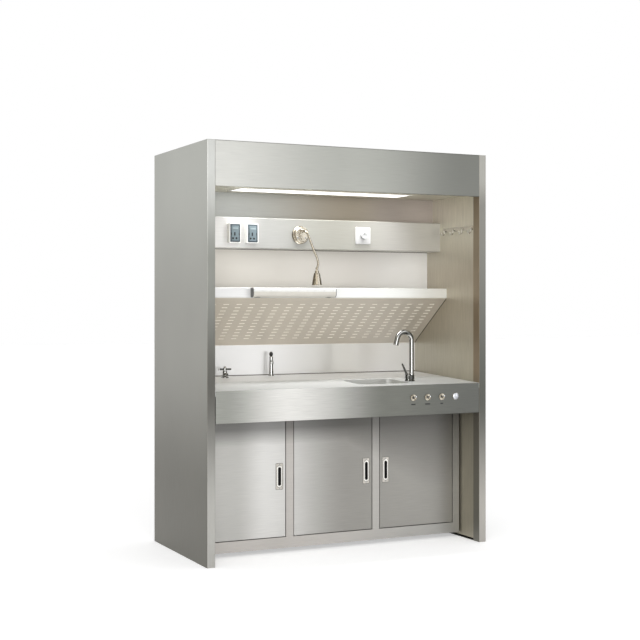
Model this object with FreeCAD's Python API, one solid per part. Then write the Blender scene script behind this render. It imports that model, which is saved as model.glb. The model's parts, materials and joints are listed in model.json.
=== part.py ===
import FreeCAD, Part

import math
import os

from FreeCAD import Vector

os.makedirs("parts", exist_ok=True)

# Pathology workstation in folded stainless sheet. Millimetres, X to the right, Z up from the floor.
# Depths are measured from the front face towards the back, and y_at() turns them into Y.

# Body
body_width = 1500.0
body_depth = 750.0
body_height = 1950.0
sheet = 1.5
bend_radius = 1.5
pillar_width = 40.0
pillar_return = 57.0
pillar_lip = 12.0
rear_flange = 28.0
liner_step = 2.0
liner_flange = 25.0
liner_bottom = 12.0
foot_plate = 2.0

# Fascia, ceiling and its light
fascia_height = 210.0
fascia_return = 18.0
ceiling_rise = 13.0
panel_flange = 20.0
ceiling_light_length = 945.0
ceiling_light_width = 165.0
ceiling_light_x = -30.0
ceiling_light_depth = 205.0
ceiling_light_body = 45.0
ceiling_light_rim = 10.0
diffuser_thickness = 3.0

# Rear walls and service box
upper_wall_from_back = 292.0
service_reach = 76.0
service_drop = 264.0
service_height = 150.0
lower_wall_from_back = 233.0

# Shelf and perforated intake
shelf_from_back = 434.0
shelf_drop = 196.0
shelf_edge = 50.0
shelf_return = 25.0
intake_above_worktop = 187.0
intake_lip = 12.0
slot_length = 30.0
slot_width = 7.0
slot_columns = 20
slot_margin = 47.2
slot_rows = 12
slot_row_pitch = 27.2

# Worktop, backsplash and apron
worktop_height = 803.0
worktop_fall = 28.0
backsplash_from_back = 101.0
worktop_lip = 25.0
apron_height = 150.0
apron_return = 30.0
apron_end_gap = 2.0

# Sink and waste
sink_width = 290.0
sink_length = 215.0
sink_deep = 90.0
sink_from_right = 670.0
sink_front = 85.0
sink_corner = 40.0
sink_flange = 14.0
waste_from_back = 48.0
waste_radius = 22.0
waste_wall = 3.0
strainer_flange = 32.0
strainer_length = 36.0
trap_radius = 30.0
trap_length = 104.0
drain_radius = 20.0
drain_wall = 2.0
drain_run = 100.0
drain_drop = 260.0
drain_bend = 32.0

# Base cabinet
cabinet_gap = 7.0
cabinet_depth = 180.0
cabinet_bottom = 24.0
cabinet_back_gap = 4.0
frame_depth = 25.0
door_bottom = 76.0
door_drop = 152.0
top_rail = 15.0
stile_width = 38.0
mullion_width = 39.0
left_bay_share = 0.311
middle_bay_share = 0.346
door_gap = 3.5
door_thickness = 20.0
door_edge_radius = 1.5
pivot_block = 14.0
foot_radius = 20.0
foot_pad = 8.0
foot_stud = 6.0
foot_inset_x = 60.0
foot_from_front = 150.0
foot_from_back = 45.0

# Door pivots and pulls
pivot_radius = 2.5
pivot_clearance = 0.05
pivot_from_edge = 10.0
pivot_from_face = 6.5
pivot_shoulder = 4.5
pivot_depth = 10.0
bush_radius = 4.5
bush_flange = 6.5
bush_flange_thickness = 1.0
rest_gap = 0.3
pull_width = 36.0
pull_height = 125.0
pull_plate = 1.5
pull_slot_width = 16.0
pull_slot_height = 88.0
pull_recess = 13.0
pull_from_edge = 32.0
pull_centre = 370.0
pull_rim = 3.0
pull_rim_height = 1.0

# Sockets and dimmer on the service box
socket_width = 60.0
socket_height = 96.0
socket_thickness = 30.0
socket_from_left = 280.0
socket_pitch = 93.0
socket_rise = 71.0
socket_margin = 4.0
socket_pocket = 8.0
socket_proud = 1.0
dimmer_size = 86.0
dimmer_thickness = 9.0
dimmer_from_right = 503.0
dimmer_rise = 74.0
knob_radius = 18.0
knob_height = 16.0
spindle_radius = 3.0
running_clearance = 0.05

# Gooseneck lamp
lamp_from_left = 643.0
lamp_rise = 70.0
lamp_pivot_rise = 20.0
lamp_disc_radius = 45.0
lamp_disc_small = 37.0
lamp_disc_thickness = 10.0
lamp_root_radius = 10.0
lamp_root_length = 8.0
lamp_stub_radius = 5.0
lamp_tube_radius = 5.0
lamp_ball_radius = 7.0
lamp_pin_radius = 1.8
lamp_head_reach_x = 58.0
lamp_head_drop = 202.0
lamp_head_out = 74.0
lamp_head_length = 70.0
lamp_head_radius = 24.0
lamp_head_wall = 1.5

# Shelf lamp
shelf_lamp_from_left = 346.0
shelf_lamp_length = 452.0
shelf_lamp_reach = 35.0
shelf_lamp_low = 2.0
shelf_lamp_upper = 18.0
shelf_lamp_cap = 3.0

# Controls on the apron
control_drop = 63.0
control_from_right = 422.0
control_pitch = 81.0
bezel_radius = 18.0
bezel_thickness = 4.0
barrel_radius = 6.0
barrel_length = 14.0
lever_length = 26.0
lever_tip_radius = 4.0
lever_radius = 2.5
lever_ball_radius = 4.0
lever_tilt = 12.0
lever_pin_radius = 1.2
lever_pin_half = 5.8
lever_pivot = 2.0
button_radius = 16.4
button_bezel_radius = 20.0
button_dome = 8.0
button_travel = 4.0
button_stem_radius = 5.0

# Faucet
faucet_from_right = 329.0
faucet_depth = 180.0
faucet_body_radius = 25.0
faucet_body_height = 30.0
faucet_body_offset = 10.0
faucet_tube_radius = 12.0
faucet_arch_radius = 41.5
faucet_top = 259.0
faucet_outlet_lean = 15.0
faucet_outlet_run = 22.0
aerator_radius = 13.0
aerator_length = 14.0
faucet_spigot_radius = 8.0
faucet_spigot_length = 18.0
faucet_shank_radius = 10.0
faucet_shank_length = 60.0
faucet_lever_offset = 28.0
faucet_lever_radius = 6.5
faucet_lever_length = 58.0
faucet_lever_lean = 26.0
faucet_stub_radius = 3.0

# Small tap and gas valve
tap_from_left = 585.0
tap_from_wall = 37.0
tap_height = 100.0
tap_radius = 11.0
tap_knob_radius = 9.0
valve_from_left = 314.0
valve_from_wall = 74.0
valve_height = 36.0
valve_radius = 11.0
valve_wing_length = 69.0
valve_wing_width = 9.0
fitting_shank_radius = 6.0
fitting_shank_length = 30.0
nut_height = 13.0

# Hook rail on the right wall
hook_rail_drop = 164.0
hook_rail_height = 20.0
hook_rail_thickness = 4.0
hook_rail_front = 60.0
hook_rail_length = 285.0
hook_count = 4
hook_first = 68.0
hook_pitch = 85.0
hook_wire = 3.0
hook_out = 6.0
hook_throat = 16.0
hook_fall = 26.0
hook_rise = 14.0

# Fan and exhaust collar
fan_from_back = 150.0
duct_radius = 100.0
duct_wall = 1.5
collar_height = 40.0
duct_flange_radius = 125.0
duct_flange_thickness = 2.0
fan_housing_length = 148.0
fan_mouth_flare = 15.0
motor_radius = 40.0
motor_length = 55.0
motor_bottom = 15.0
motor_shaft_radius = 4.0
spider_thickness = 5.0
spider_height = 30.0
spider_arms = 3
hub_radius = 38.0
hub_height = 42.0
blade_count = 7
blade_tip_gap = 4.0
blade_thickness = 2.5
blade_chord = 42.0
blade_root_pitch = 50.0
blade_tip_pitch = 25.0

# Screws
screw_radius = 5.0
screw_height = 2.5
rear_screw_rows = 6
rear_screw_first = 120.0
collar_screws = 6

# Places that follow from the sizes above
half_width = body_width / 2
inner_x = half_width - pillar_width
liner_x = inner_x + liner_step
roof_under = body_height - sheet
rear_face = body_depth - sheet
rear_panel_front = rear_face - sheet
fascia_bottom = body_height - fascia_height
ceiling_height = fascia_bottom + ceiling_rise
upper_wall_depth = body_depth - upper_wall_from_back
service_depth = upper_wall_depth - service_reach
service_bottom = fascia_bottom - service_drop
service_top = service_bottom + service_height
lower_wall_depth = body_depth - lower_wall_from_back
shelf_depth = body_depth - shelf_from_back
shelf_top = service_bottom - shelf_drop
shelf_bottom = shelf_top - shelf_edge
intake_low = worktop_height + intake_above_worktop
slot_column_pitch = (2 * (liner_x - slot_margin) - slot_length) / (slot_columns - 1)
apron_bottom = worktop_height - apron_height
backsplash_depth = body_depth - backsplash_from_back
worktop_back = backsplash_depth + sheet
intake_run = backsplash_depth - shelf_depth
intake_fall = shelf_bottom - intake_low
intake_edge = shelf_bottom - intake_fall * (worktop_back - shelf_depth) / intake_run
door_top = worktop_height - door_drop
cabinet_back = backsplash_depth - cabinet_back_gap
foot_depth_front = cabinet_depth + foot_from_front
foot_depth_rear = cabinet_back - foot_from_back
socket_first_x = socket_from_left - half_width
socket_positions = (socket_first_x, socket_first_x + socket_pitch)
socket_centre = service_bottom + socket_rise
dimmer_x = half_width - dimmer_from_right
dimmer_z = service_bottom + dimmer_rise
lamp_x = lamp_from_left - half_width
lamp_z = service_bottom + lamp_rise
lamp_pivot_z = lamp_z + lamp_pivot_rise
lamp_head_depth = service_depth - lamp_head_out
shelf_lamp_left = shelf_lamp_from_left - half_width
control_z = worktop_height - control_drop
control_first_x = half_width - control_from_right
sink_left = half_width - sink_from_right
faucet_x = half_width - faucet_from_right
tap_x = tap_from_left - half_width
tap_depth = backsplash_depth - tap_from_wall
valve_x = valve_from_left - half_width
valve_depth = backsplash_depth - valve_from_wall
hook_rail_z = fascia_bottom - hook_rail_drop
fan_depth = body_depth - fan_from_back
switch_reach = bezel_thickness + lever_length
front = (switch_reach - body_depth - screw_height) / 2
cabinet_half = inner_x - cabinet_gap


def y_at(depth):
    return front + depth


def worktop_z(depth):
    return worktop_height + worktop_fall * depth / worktop_back


# How far below its top face the worktop's underside lies, measured straight down
worktop_sheet = sheet * math.hypot(worktop_back, worktop_fall) / worktop_back + 0.002


def box(x0, x1, depth0, depth1, z0, z1):
    return Part.makeBox(x1 - x0, depth1 - depth0, z1 - z0, Vector(x0, y_at(depth0), z0))


def cylinder(x, depth, z, radius, length, axis=Vector(0, 0, 1)):
    return Part.makeCylinder(radius, length, Vector(x, y_at(depth), z), axis)


def rounded_edges(points, radii):
    """Straight runs through the points, joined by tangent arcs of the given radii."""
    edges = []
    start = points[0]
    for index in range(1, len(points) - 1):
        corner = points[index]
        before = (points[index - 1] - corner).normalize()
        after = (points[index + 1] - corner).normalize()
        radius = radii[index - 1]
        if radius <= 0:
            edges.append(Part.LineSegment(start, corner).toShape())
            start = corner
            continue
        half_angle = before.getAngle(after) / 2
        tangent = radius / math.tan(half_angle)
        bisector = (before + after).normalize()
        first = corner + before * tangent
        last = corner + after * tangent
        middle = corner + bisector * (radius / math.sin(half_angle) - radius)
        if (first - start).Length > 1e-6:
            edges.append(Part.LineSegment(start, first).toShape())
        edges.append(Part.Arc(first, middle, last).toShape())
        start = last
    edges.append(Part.LineSegment(start, points[-1]).toShape())
    return edges


def offset_polyline(points, distance):
    """The polyline moved sideways by distance, to the left of its direction when positive."""
    shifted = []
    for index, (a, b) in enumerate(points):
        normals = []
        for first, second in ((index - 1, index), (index, index + 1)):
            if first < 0 or second >= len(points):
                continue
            run_a = points[second][0] - points[first][0]
            run_b = points[second][1] - points[first][1]
            length = math.hypot(run_a, run_b)
            normals.append((-run_b / length, run_a / length))
        if len(normals) == 1:
            shifted.append((a + normals[0][0] * distance, b + normals[0][1] * distance))
            continue
        sum_a = normals[0][0] + normals[1][0]
        sum_b = normals[0][1] + normals[1][1]
        scale = 2 * distance / (sum_a * sum_a + sum_b * sum_b)
        shifted.append((a + sum_a * scale, b + sum_b * scale))
    return shifted


def folded_sheet(points, side, place, extrusion, bends=None):
    """A folded sheet: the points are its visible face, and its metal lies on the left or right side.

    place turns a pair of profile coordinates into a point, and extrusion is the sheet's length.
    bends gives an inside radius for each fold, where it isn't the usual one.
    """
    inside = bends or [bend_radius] * (len(points) - 2)
    face_radii = []
    back_radii = []
    for index in range(1, len(points) - 1):
        (a0, b0), (a1, b1), (a2, b2) = points[index - 1:index + 2]
        turn = (a1 - a0) * (b2 - b1) - (b1 - b0) * (a2 - a1)
        radius = inside[index - 1]
        if turn * side > 0:
            face_radii.append(radius + sheet)
            back_radii.append(radius)
        else:
            face_radii.append(radius)
            back_radii.append(radius + sheet)
    face_points = [place(*point) for point in points]
    back_points = [place(*point) for point in offset_polyline(points, side * sheet)]
    face_edges = rounded_edges(face_points, face_radii)
    back_edges = rounded_edges(back_points[::-1], back_radii[::-1])
    ends = [Part.LineSegment(face_points[-1], back_points[-1]).toShape(),
            Part.LineSegment(back_points[0], face_points[0]).toShape()]
    wire = Part.Wire(face_edges + [ends[0]] + back_edges + [ends[1]])
    return Part.Face(wire).extrude(extrusion)


def sheet_across(points, side, half_length, bends=None):
    """A sheet folded along X. Its profile is given as depth and height."""
    return folded_sheet(points, side, lambda depth, z: Vector(-half_length, y_at(depth), z),
                        Vector(2 * half_length, 0, 0), bends)


def sheet_upright(points, side, z0, z1):
    """A sheet folded along Z. Its profile is given as X and depth."""
    return folded_sheet(points, side, lambda x, depth: Vector(x, y_at(depth), z0),
                        Vector(0, 0, z1 - z0))


def turned(profile, base, axis):
    """A solid of revolution. The profile pairs are the radius and the distance along the axis."""
    side = Vector(1, 0, 0) if abs(axis.x) < 0.9 else Vector(0, 0, 1)
    points = [base + side * radius + axis * along for radius, along in profile]
    face = Part.Face(Part.makePolygon(points + [points[0]]))
    return face.revolve(base, axis, 360)


def upright(profile, x, depth, z):
    return turned(profile, Vector(x, y_at(depth), z), Vector(0, 0, 1))


def tube(points, radii, tube_radius):
    """A round bar along straight runs and tangent arcs. Its points are X, depth and height."""
    places = [Vector(x, y_at(depth), z) for x, depth, z in points]
    path = Part.Wire(rounded_edges(places, radii))
    direction = (places[1] - places[0]).normalize()
    section = Part.Wire([Part.Circle(places[0], direction, tube_radius).toShape()])
    return path.makePipeShell([section], True, False)


def rounded_slab(width, height, thickness, corner):
    """A slab with rounded corners, centred on the origin in X and Y, from zero up in Z."""
    slab = Part.makeBox(width, height, thickness, Vector(-width / 2, -height / 2, 0))
    uprights = [edge for edge in slab.Edges if abs(edge.BoundBox.ZLength - thickness) < 1e-6]
    return slab.makeFillet(corner, uprights)


def facing_front(shape, x, depth, z):
    """Turns a shape that was built lying down, so that its top faces the front, and places it."""
    turned_shape = shape.copy()
    turned_shape.rotate(Vector(0, 0, 0), Vector(1, 0, 0), 90)
    turned_shape.translate(Vector(x, y_at(depth), z))
    return turned_shape


def slope_prism(z_offset_low, z_offset_high, margin=200.0):
    """The space between two planes parallel to the worktop, given as heights above its top face."""
    depths = (-margin, body_depth + margin)
    corners = [Vector(-body_width, y_at(depths[0]), worktop_z(depths[0]) + z_offset_low),
               Vector(-body_width, y_at(depths[1]), worktop_z(depths[1]) + z_offset_low),
               Vector(-body_width, y_at(depths[1]), worktop_z(depths[1]) + z_offset_high),
               Vector(-body_width, y_at(depths[0]), worktop_z(depths[0]) + z_offset_high)]
    return Part.Face(Part.makePolygon(corners + [corners[0]])).extrude(Vector(2 * body_width, 0, 0))


def mirrored(shape):
    return shape.mirror(Vector(0, 0, 0), Vector(1, 0, 0))


# Outer body

def side_panel():
    profile = [(inner_x + pillar_lip, pillar_return), (inner_x, pillar_return), (inner_x, 0),
               (half_width, 0), (half_width, body_depth), (half_width - rear_flange, body_depth)]
    shell = sheet_upright(profile, 1, 0, roof_under)
    foot = box(liner_x, half_width - sheet / 2, sheet / 2, rear_face, 0, foot_plate)
    return shell.fuse(foot).removeSplitter()


def inner_liner():
    profile = [(liner_x + liner_flange, pillar_return), (liner_x, pillar_return),
               (liner_x, rear_panel_front), (liner_x + liner_flange, rear_panel_front)]
    return sheet_upright(profile, -1, liner_bottom, roof_under)


def rear_panel():
    edge = half_width - sheet - bend_radius
    return box(-edge, edge, rear_panel_front, rear_face, cabinet_bottom, roof_under)


def roof_panel():
    plate = box(-half_width, half_width, 0, body_depth, roof_under, body_height)
    return plate.cut(cylinder(0, fan_depth, roof_under - sheet, duct_radius - duct_wall, 3 * sheet))


def fascia_panel():
    profile = [(panel_flange, roof_under), (0, roof_under), (0, fascia_bottom),
               (fascia_return, fascia_bottom), (fascia_return, ceiling_height)]
    return sheet_across(profile, 1, inner_x)


# Ceiling and its light

light_left = ceiling_light_x - ceiling_light_length / 2
light_right = ceiling_light_x + ceiling_light_length / 2
light_back = ceiling_light_depth + ceiling_light_width
light_rim_thickness = 1.2


def light_block(inset, z0, z1):
    return box(light_left + inset, light_right - inset, ceiling_light_depth + inset,
               light_back - inset, z0, z1)


def ceiling_panel():
    top = ceiling_height + panel_flange
    profile = [(fascia_return, top), (fascia_return, ceiling_height),
               (upper_wall_depth, ceiling_height), (upper_wall_depth, top)]
    panel = sheet_across(profile, 1, inner_x)
    return panel.cut(light_block(ceiling_light_rim - rest_gap, ceiling_height - 1, top))


def ceiling_light_frame():
    rim_z = ceiling_height - light_rim_thickness
    top = ceiling_height + ceiling_light_body
    frame = light_block(0, rim_z, ceiling_height).fuse(light_block(ceiling_light_rim, rim_z, top))
    cavity = light_block(ceiling_light_rim + sheet, rim_z - 1, top - sheet)
    return frame.cut(cavity).removeSplitter()


def ceiling_light_diffuser():
    rim_z = ceiling_height - light_rim_thickness
    inset = ceiling_light_rim + sheet + rest_gap / 2
    return light_block(inset, rim_z, rim_z + diffuser_thickness)


# Rear walls, service box and shelf

def upper_rear_wall():
    profile = [(upper_wall_depth + panel_flange, service_top), (upper_wall_depth, service_top),
               (upper_wall_depth, ceiling_height + panel_flange)]
    return sheet_across(profile, -1, liner_x)


def service_box():
    profile = [(lower_wall_depth, service_bottom), (service_depth, service_bottom),
               (service_depth, service_top), (upper_wall_depth + panel_flange, service_top)]
    panel = sheet_across(profile, -1, liner_x)
    openings = []
    for x in socket_positions:
        openings.append(box(x - socket_width / 3, x + socket_width / 3, service_depth - 1,
                            service_depth + 2 * sheet, socket_centre - socket_height / 3,
                            socket_centre + socket_height / 3))
    back = Vector(0, 1, 0)
    openings.append(cylinder(dimmer_x, service_depth - 1, dimmer_z, dimmer_size / 3, 3 * sheet, back))
    openings.append(cylinder(lamp_x, service_depth - 1, lamp_z, lamp_disc_small / 2, 3 * sheet, back))
    return panel.cut(openings)


def lower_rear_wall():
    profile = [(lower_wall_depth + panel_flange, shelf_top), (lower_wall_depth, shelf_top),
               (lower_wall_depth, service_bottom + panel_flange)]
    return sheet_across(profile, -1, liner_x)


def shelf():
    profile = [(lower_wall_depth + panel_flange, shelf_top), (shelf_depth, shelf_top),
               (shelf_depth, shelf_bottom), (shelf_depth + shelf_return, shelf_bottom)]
    return sheet_across(profile, 1, liner_x)


def intake_panel():
    profile = [(shelf_depth + shelf_return, shelf_bottom), (shelf_depth, shelf_bottom),
               (worktop_back, intake_edge), (worktop_back, intake_edge - intake_lip)]
    panel = sheet_across(profile, 1, liner_x, [0, bend_radius])
    length = math.hypot(intake_run, intake_fall)
    steepness = math.degrees(math.atan2(intake_fall, intake_run))
    slot = Part.makeBox(slot_length, slot_width, 6 * sheet,
                        Vector(-slot_length / 2, -slot_width / 2, -2 * sheet))
    slot.rotate(Vector(0, 0, 0), Vector(1, 0, 0), -steepness)
    slots = []
    for row in range(slot_rows):
        along = length / 2 + (row - (slot_rows - 1) / 2) * slot_row_pitch
        depth = shelf_depth + intake_run * along / length
        z = shelf_bottom - intake_fall * along / length
        for column in range(slot_columns):
            x = (column - (slot_columns - 1) / 2) * slot_column_pitch
            copy = slot.copy()
            copy.translate(Vector(x, y_at(depth), z))
            slots.append(copy)
    return panel.cut(slots)


# Sockets and dimmer

def socket_boxes():
    shapes = []
    for x in socket_positions:
        body = rounded_slab(socket_width, socket_height, socket_thickness, socket_margin)
        pocket = rounded_slab(socket_width - 2 * socket_margin, socket_height - 2 * socket_margin,
                              socket_pocket, socket_margin / 2)
        pocket.translate(Vector(0, 0, socket_thickness - socket_pocket))
        shapes.append(facing_front(body.cut(pocket), x, service_depth, socket_centre))
    return Part.makeCompound(shapes)


def socket_inserts():
    width = socket_width - 2 * socket_margin - rest_gap
    height = socket_height - 2 * socket_margin - rest_gap
    shapes = []
    for x in socket_positions:
        insert = rounded_slab(width, height, socket_pocket + socket_proud, socket_margin / 2)
        seat = service_depth - (socket_thickness - socket_pocket)
        shapes.append(facing_front(insert, x, seat, socket_centre))
    return Part.makeCompound(shapes)


def dimmer_plate():
    plate = rounded_slab(dimmer_size, dimmer_size, dimmer_thickness, socket_margin)
    plate = facing_front(plate, dimmer_x, service_depth, dimmer_z)
    bore = cylinder(dimmer_x, service_depth - 2 * dimmer_thickness, dimmer_z,
                    spindle_radius + running_clearance, 3 * dimmer_thickness, Vector(0, 1, 0))
    return plate.cut(bore)


def dimmer_knob():
    lip = 2.0
    profile = [(0, -dimmer_thickness + lip), (spindle_radius, -dimmer_thickness + lip),
               (spindle_radius, rest_gap), (knob_radius, rest_gap),
               (knob_radius, knob_height - lip), (knob_radius - lip, knob_height), (0, knob_height)]
    base = Vector(dimmer_x, y_at(service_depth - dimmer_thickness), dimmer_z)
    return turned(profile, base, Vector(0, -1, 0))


# Gooseneck lamp

lamp_face_depth = service_depth - 2 * lamp_disc_thickness
lamp_neck = lamp_ball_radius + rest_gap + 3.0


def lamp_base():
    edge = 3.0
    t = lamp_disc_thickness
    profile = [(0, 0), (lamp_disc_radius, 0), (lamp_disc_radius, t - edge),
               (lamp_disc_radius - edge, t), (lamp_disc_small, t),
               (lamp_disc_small, 2 * t - edge), (lamp_disc_small - edge, 2 * t), (0, 2 * t)]
    base = turned(profile, Vector(lamp_x, y_at(service_depth), lamp_z), Vector(0, -1, 0))
    bore = cylinder(lamp_x, lamp_face_depth - 1, lamp_pivot_z, lamp_stub_radius + running_clearance,
                    2 * t, Vector(0, 1, 0))
    return base.cut(bore)


def lamp_arm():
    x = lamp_x
    z = lamp_pivot_z
    depth = lamp_head_depth
    reach = lamp_head_reach_x
    drop = lamp_head_drop
    head_x = x + reach
    head_z = z - drop
    points = [(x, lamp_face_depth - lamp_root_length + 1, z),
              (x + 0.05 * reach, depth + 14, z + 0.025 * drop),
              (x + 0.33 * reach, depth + 4, z - 0.153 * drop),
              (x + 0.71 * reach, depth, z - 0.426 * drop),
              (x + 1.155 * reach, depth, z - 0.703 * drop),
              (x + 1.12 * reach, depth, z - 0.842 * drop), (head_x, depth, head_z)]
    neck = tube(points, [14, 40, 60, 22, 20], lamp_tube_radius)
    root = cylinder(x, lamp_face_depth - rest_gap, z, lamp_root_radius, lamp_root_length,
                    Vector(0, -1, 0))
    stub = cylinder(x, lamp_face_depth - rest_gap - 1, z, lamp_stub_radius,
                    lamp_disc_thickness, Vector(0, 1, 0))
    ball = Part.makeSphere(lamp_ball_radius, Vector(head_x, y_at(lamp_head_depth), head_z))
    pin = cylinder(head_x - lamp_neck, depth, head_z, lamp_pin_radius, 2 * lamp_neck, Vector(1, 0, 0))
    return neck.fuse([root, stub, ball, pin])


def lamp_head():
    socket = lamp_ball_radius + rest_gap
    neck = lamp_neck
    wall = lamp_head_wall
    length = lamp_head_length
    shoulder = 16.0
    outline = [(0, 2.0), (neck, 2.0), (neck, -lamp_ball_radius - 2), (neck + 3, -shoulder),
               (lamp_head_radius, -length), (lamp_head_radius - wall, -length),
               (neck + 3 - wall, -shoulder - wall), (0, -shoulder - wall)]
    x = lamp_x + lamp_head_reach_x
    z = lamp_pivot_z - lamp_head_drop
    head = upright(outline, x, lamp_head_depth, z)
    pin_hole = cylinder(x - 2 * neck, lamp_head_depth, z, lamp_pin_radius + running_clearance, 4 * neck,
                        Vector(1, 0, 0))
    return head.cut([Part.makeSphere(socket, Vector(x, y_at(lamp_head_depth), z)), pin_hole])


def lamp_lens():
    wall = lamp_head_wall
    length = lamp_head_length
    bottom = lamp_head_radius - wall - rest_gap
    taper = (lamp_head_radius - lamp_ball_radius - 6) / (length - 16)
    rise = 4.0
    profile = [(0, -length + 1), (bottom - taper, -length + 1),
               (bottom - taper * (rise + 1), -length + 1 + rise), (0, -length + 1 + rise)]
    x = lamp_x + lamp_head_reach_x
    return upright(profile, x, lamp_head_depth, lamp_pivot_z - lamp_head_drop)


# Shelf lamp

lamp_front = shelf_depth - shelf_lamp_reach
lamp_low_z = shelf_bottom + shelf_lamp_low
lamp_high_z = shelf_top - 1.0
lamp_joint_z = lamp_high_z - shelf_lamp_upper


def shelf_lamp_section(outline, arcs, length, x0):
    places = [Vector(x0, y_at(depth), z) for depth, z in outline]
    closing = Part.LineSegment(places[-1], places[0]).toShape()
    wire = Part.Wire(rounded_edges(places, arcs) + [closing])
    return Part.Face(wire).extrude(Vector(length, 0, 0))


def shelf_lamp_body():
    outline = [(shelf_depth, lamp_joint_z), (lamp_front, lamp_joint_z),
               (lamp_front, lamp_high_z), (shelf_depth, lamp_high_z)]
    return shelf_lamp_section(outline, [0, 8], shelf_lamp_length - 2 * shelf_lamp_cap,
                              shelf_lamp_left + shelf_lamp_cap)


def shelf_lamp_diffuser():
    outline = [(shelf_depth, lamp_joint_z), (lamp_front, lamp_joint_z),
               (lamp_front, lamp_low_z), (shelf_depth, lamp_low_z)]
    return shelf_lamp_section(outline, [0, 20], shelf_lamp_length - 2 * shelf_lamp_cap,
                              shelf_lamp_left + shelf_lamp_cap)


def shelf_lamp_end_caps():
    outline = [(shelf_depth, lamp_low_z), (lamp_front, lamp_low_z),
               (lamp_front, lamp_high_z), (shelf_depth, lamp_high_z)]
    right = shelf_lamp_left + shelf_lamp_length - shelf_lamp_cap
    return Part.makeCompound([shelf_lamp_section(outline, [20, 8], shelf_lamp_cap, x0)
                              for x0 in (shelf_lamp_left, right)])


# Worktop, sink and waste

sink_x = sink_left + sink_width / 2
sink_depth = sink_front + sink_length / 2
sink_floor = worktop_z(sink_depth) - sink_deep
waste_depth = sink_front + sink_length - waste_from_back


def sink_prism(grow, z0, z1):
    slab = rounded_slab(sink_width + 2 * grow, sink_length + 2 * grow, z1 - z0, sink_corner + grow)
    slab.translate(Vector(sink_x, y_at(sink_depth), z0))
    return slab


def fitting_hole(x, depth, radius):
    return cylinder(x, depth, worktop_height - worktop_lip, radius, 3 * worktop_lip)


def worktop():
    profile = [(sheet, worktop_height - worktop_lip), (sheet, worktop_z(sheet)),
               (worktop_back, worktop_z(worktop_back)),
               (worktop_back, worktop_z(worktop_back) + worktop_lip)]
    top = sheet_across(profile, -1, inner_x, [bend_radius, 0])
    opening = sink_prism(0, worktop_height - worktop_lip, worktop_height + 2 * worktop_lip)
    return top.cut([opening,
                    fitting_hole(faucet_x - faucet_body_offset, faucet_depth, faucet_shank_radius + 1.5),
                    fitting_hole(tap_x, tap_depth, fitting_shank_radius + 1),
                    fitting_hole(valve_x, valve_depth, fitting_shank_radius + 1)])


def backsplash():
    return box(-liner_x, liner_x, backsplash_depth, worktop_back, worktop_z(worktop_back),
               intake_edge - sheet)


def sink_bowl():
    under = -worktop_sheet
    top = worktop_height + worktop_lip
    walls = sink_prism(sheet, sink_floor - sheet, top).cut(sink_prism(0, sink_floor, top + 1))
    walls = walls.common(slope_prism(-2 * sink_deep, under))
    flange = sink_prism(sink_flange, sink_floor, top).cut(sink_prism(0, sink_floor - 1, top + 1))
    flange = flange.common(slope_prism(under - sheet, under))
    drain = cylinder(sink_x, waste_depth, sink_floor - 3 * sheet, waste_radius + rest_gap, 6 * sheet)
    return walls.fuse(flange).removeSplitter().cut(drain)


def sink_strainer():
    inner = waste_radius - waste_wall
    rim = 2.0
    profile = [(0, -4.0), (inner - 4, -4.0), (inner, 0), (strainer_flange, 0), (strainer_flange - rim, rim),
               (inner, rim), (inner - 4, -2.0), (0, -2.0)]
    cup = upright(profile, sink_x, waste_depth, sink_floor)
    pipe = [(inner, 0.5), (waste_radius, 0.5), (waste_radius, -strainer_length),
            (inner, -strainer_length)]
    body = cup.fuse(upright(pipe, sink_x, waste_depth, sink_floor))
    holes = [cylinder(sink_x, waste_depth, sink_floor - 8, 2.5, 16)]
    for index in range(6):
        angle = math.radians(60 * index)
        centre = Vector(sink_x + 9 * math.cos(angle), y_at(waste_depth) + 9 * math.sin(angle),
                        sink_floor - 8)
        holes.append(Part.makeCylinder(2.5, 16, centre))
    return body.cut(holes)


def drain_trap():
    top = sink_floor - sheet - rest_gap
    inner = waste_radius + rest_gap / 3
    collar = [(inner, 0), (trap_radius, 0), (trap_radius, -strainer_length),
              (trap_radius - 4, -strainer_length - 4), (trap_radius - 4, -trap_length + 12),
              (trap_radius - 10, -trap_length), (0, -trap_length), (0, -strainer_length - 2),
              (inner, -strainer_length - 2)]
    bottle = upright(collar, sink_x, waste_depth, top)
    pipe_z = top - strainer_length - 26
    back = waste_depth + drain_run
    points = [(sink_x, waste_depth, pipe_z), (sink_x, back, pipe_z), (sink_x, back, pipe_z - drain_drop)]
    pipe = tube(points, [drain_bend], drain_radius)
    bore = tube([(sink_x, waste_depth + trap_radius, pipe_z)] + points[1:], [drain_bend],
                drain_radius - drain_wall)
    return bottle.fuse(pipe).cut(bore)


# Apron and its controls

control_x = [control_first_x + index * control_pitch for index in range(4)]
toward_front = Vector(0, -1, 0)


def apron_panel():
    profile = [(0, worktop_height), (0, apron_bottom), (apron_return, apron_bottom),
               (apron_return, apron_bottom + panel_flange)]
    panel = sheet_across(profile, 1, inner_x - apron_end_gap)
    holes = [cylinder(x, -1, control_z, barrel_radius + rest_gap / 2, 3 * sheet, Vector(0, 1, 0))
             for x in control_x[:3]]
    holes.append(cylinder(control_x[3], -1, control_z, button_radius + 1.3, 3 * sheet,
                          Vector(0, 1, 0)))
    return panel.cut(holes)


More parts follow.
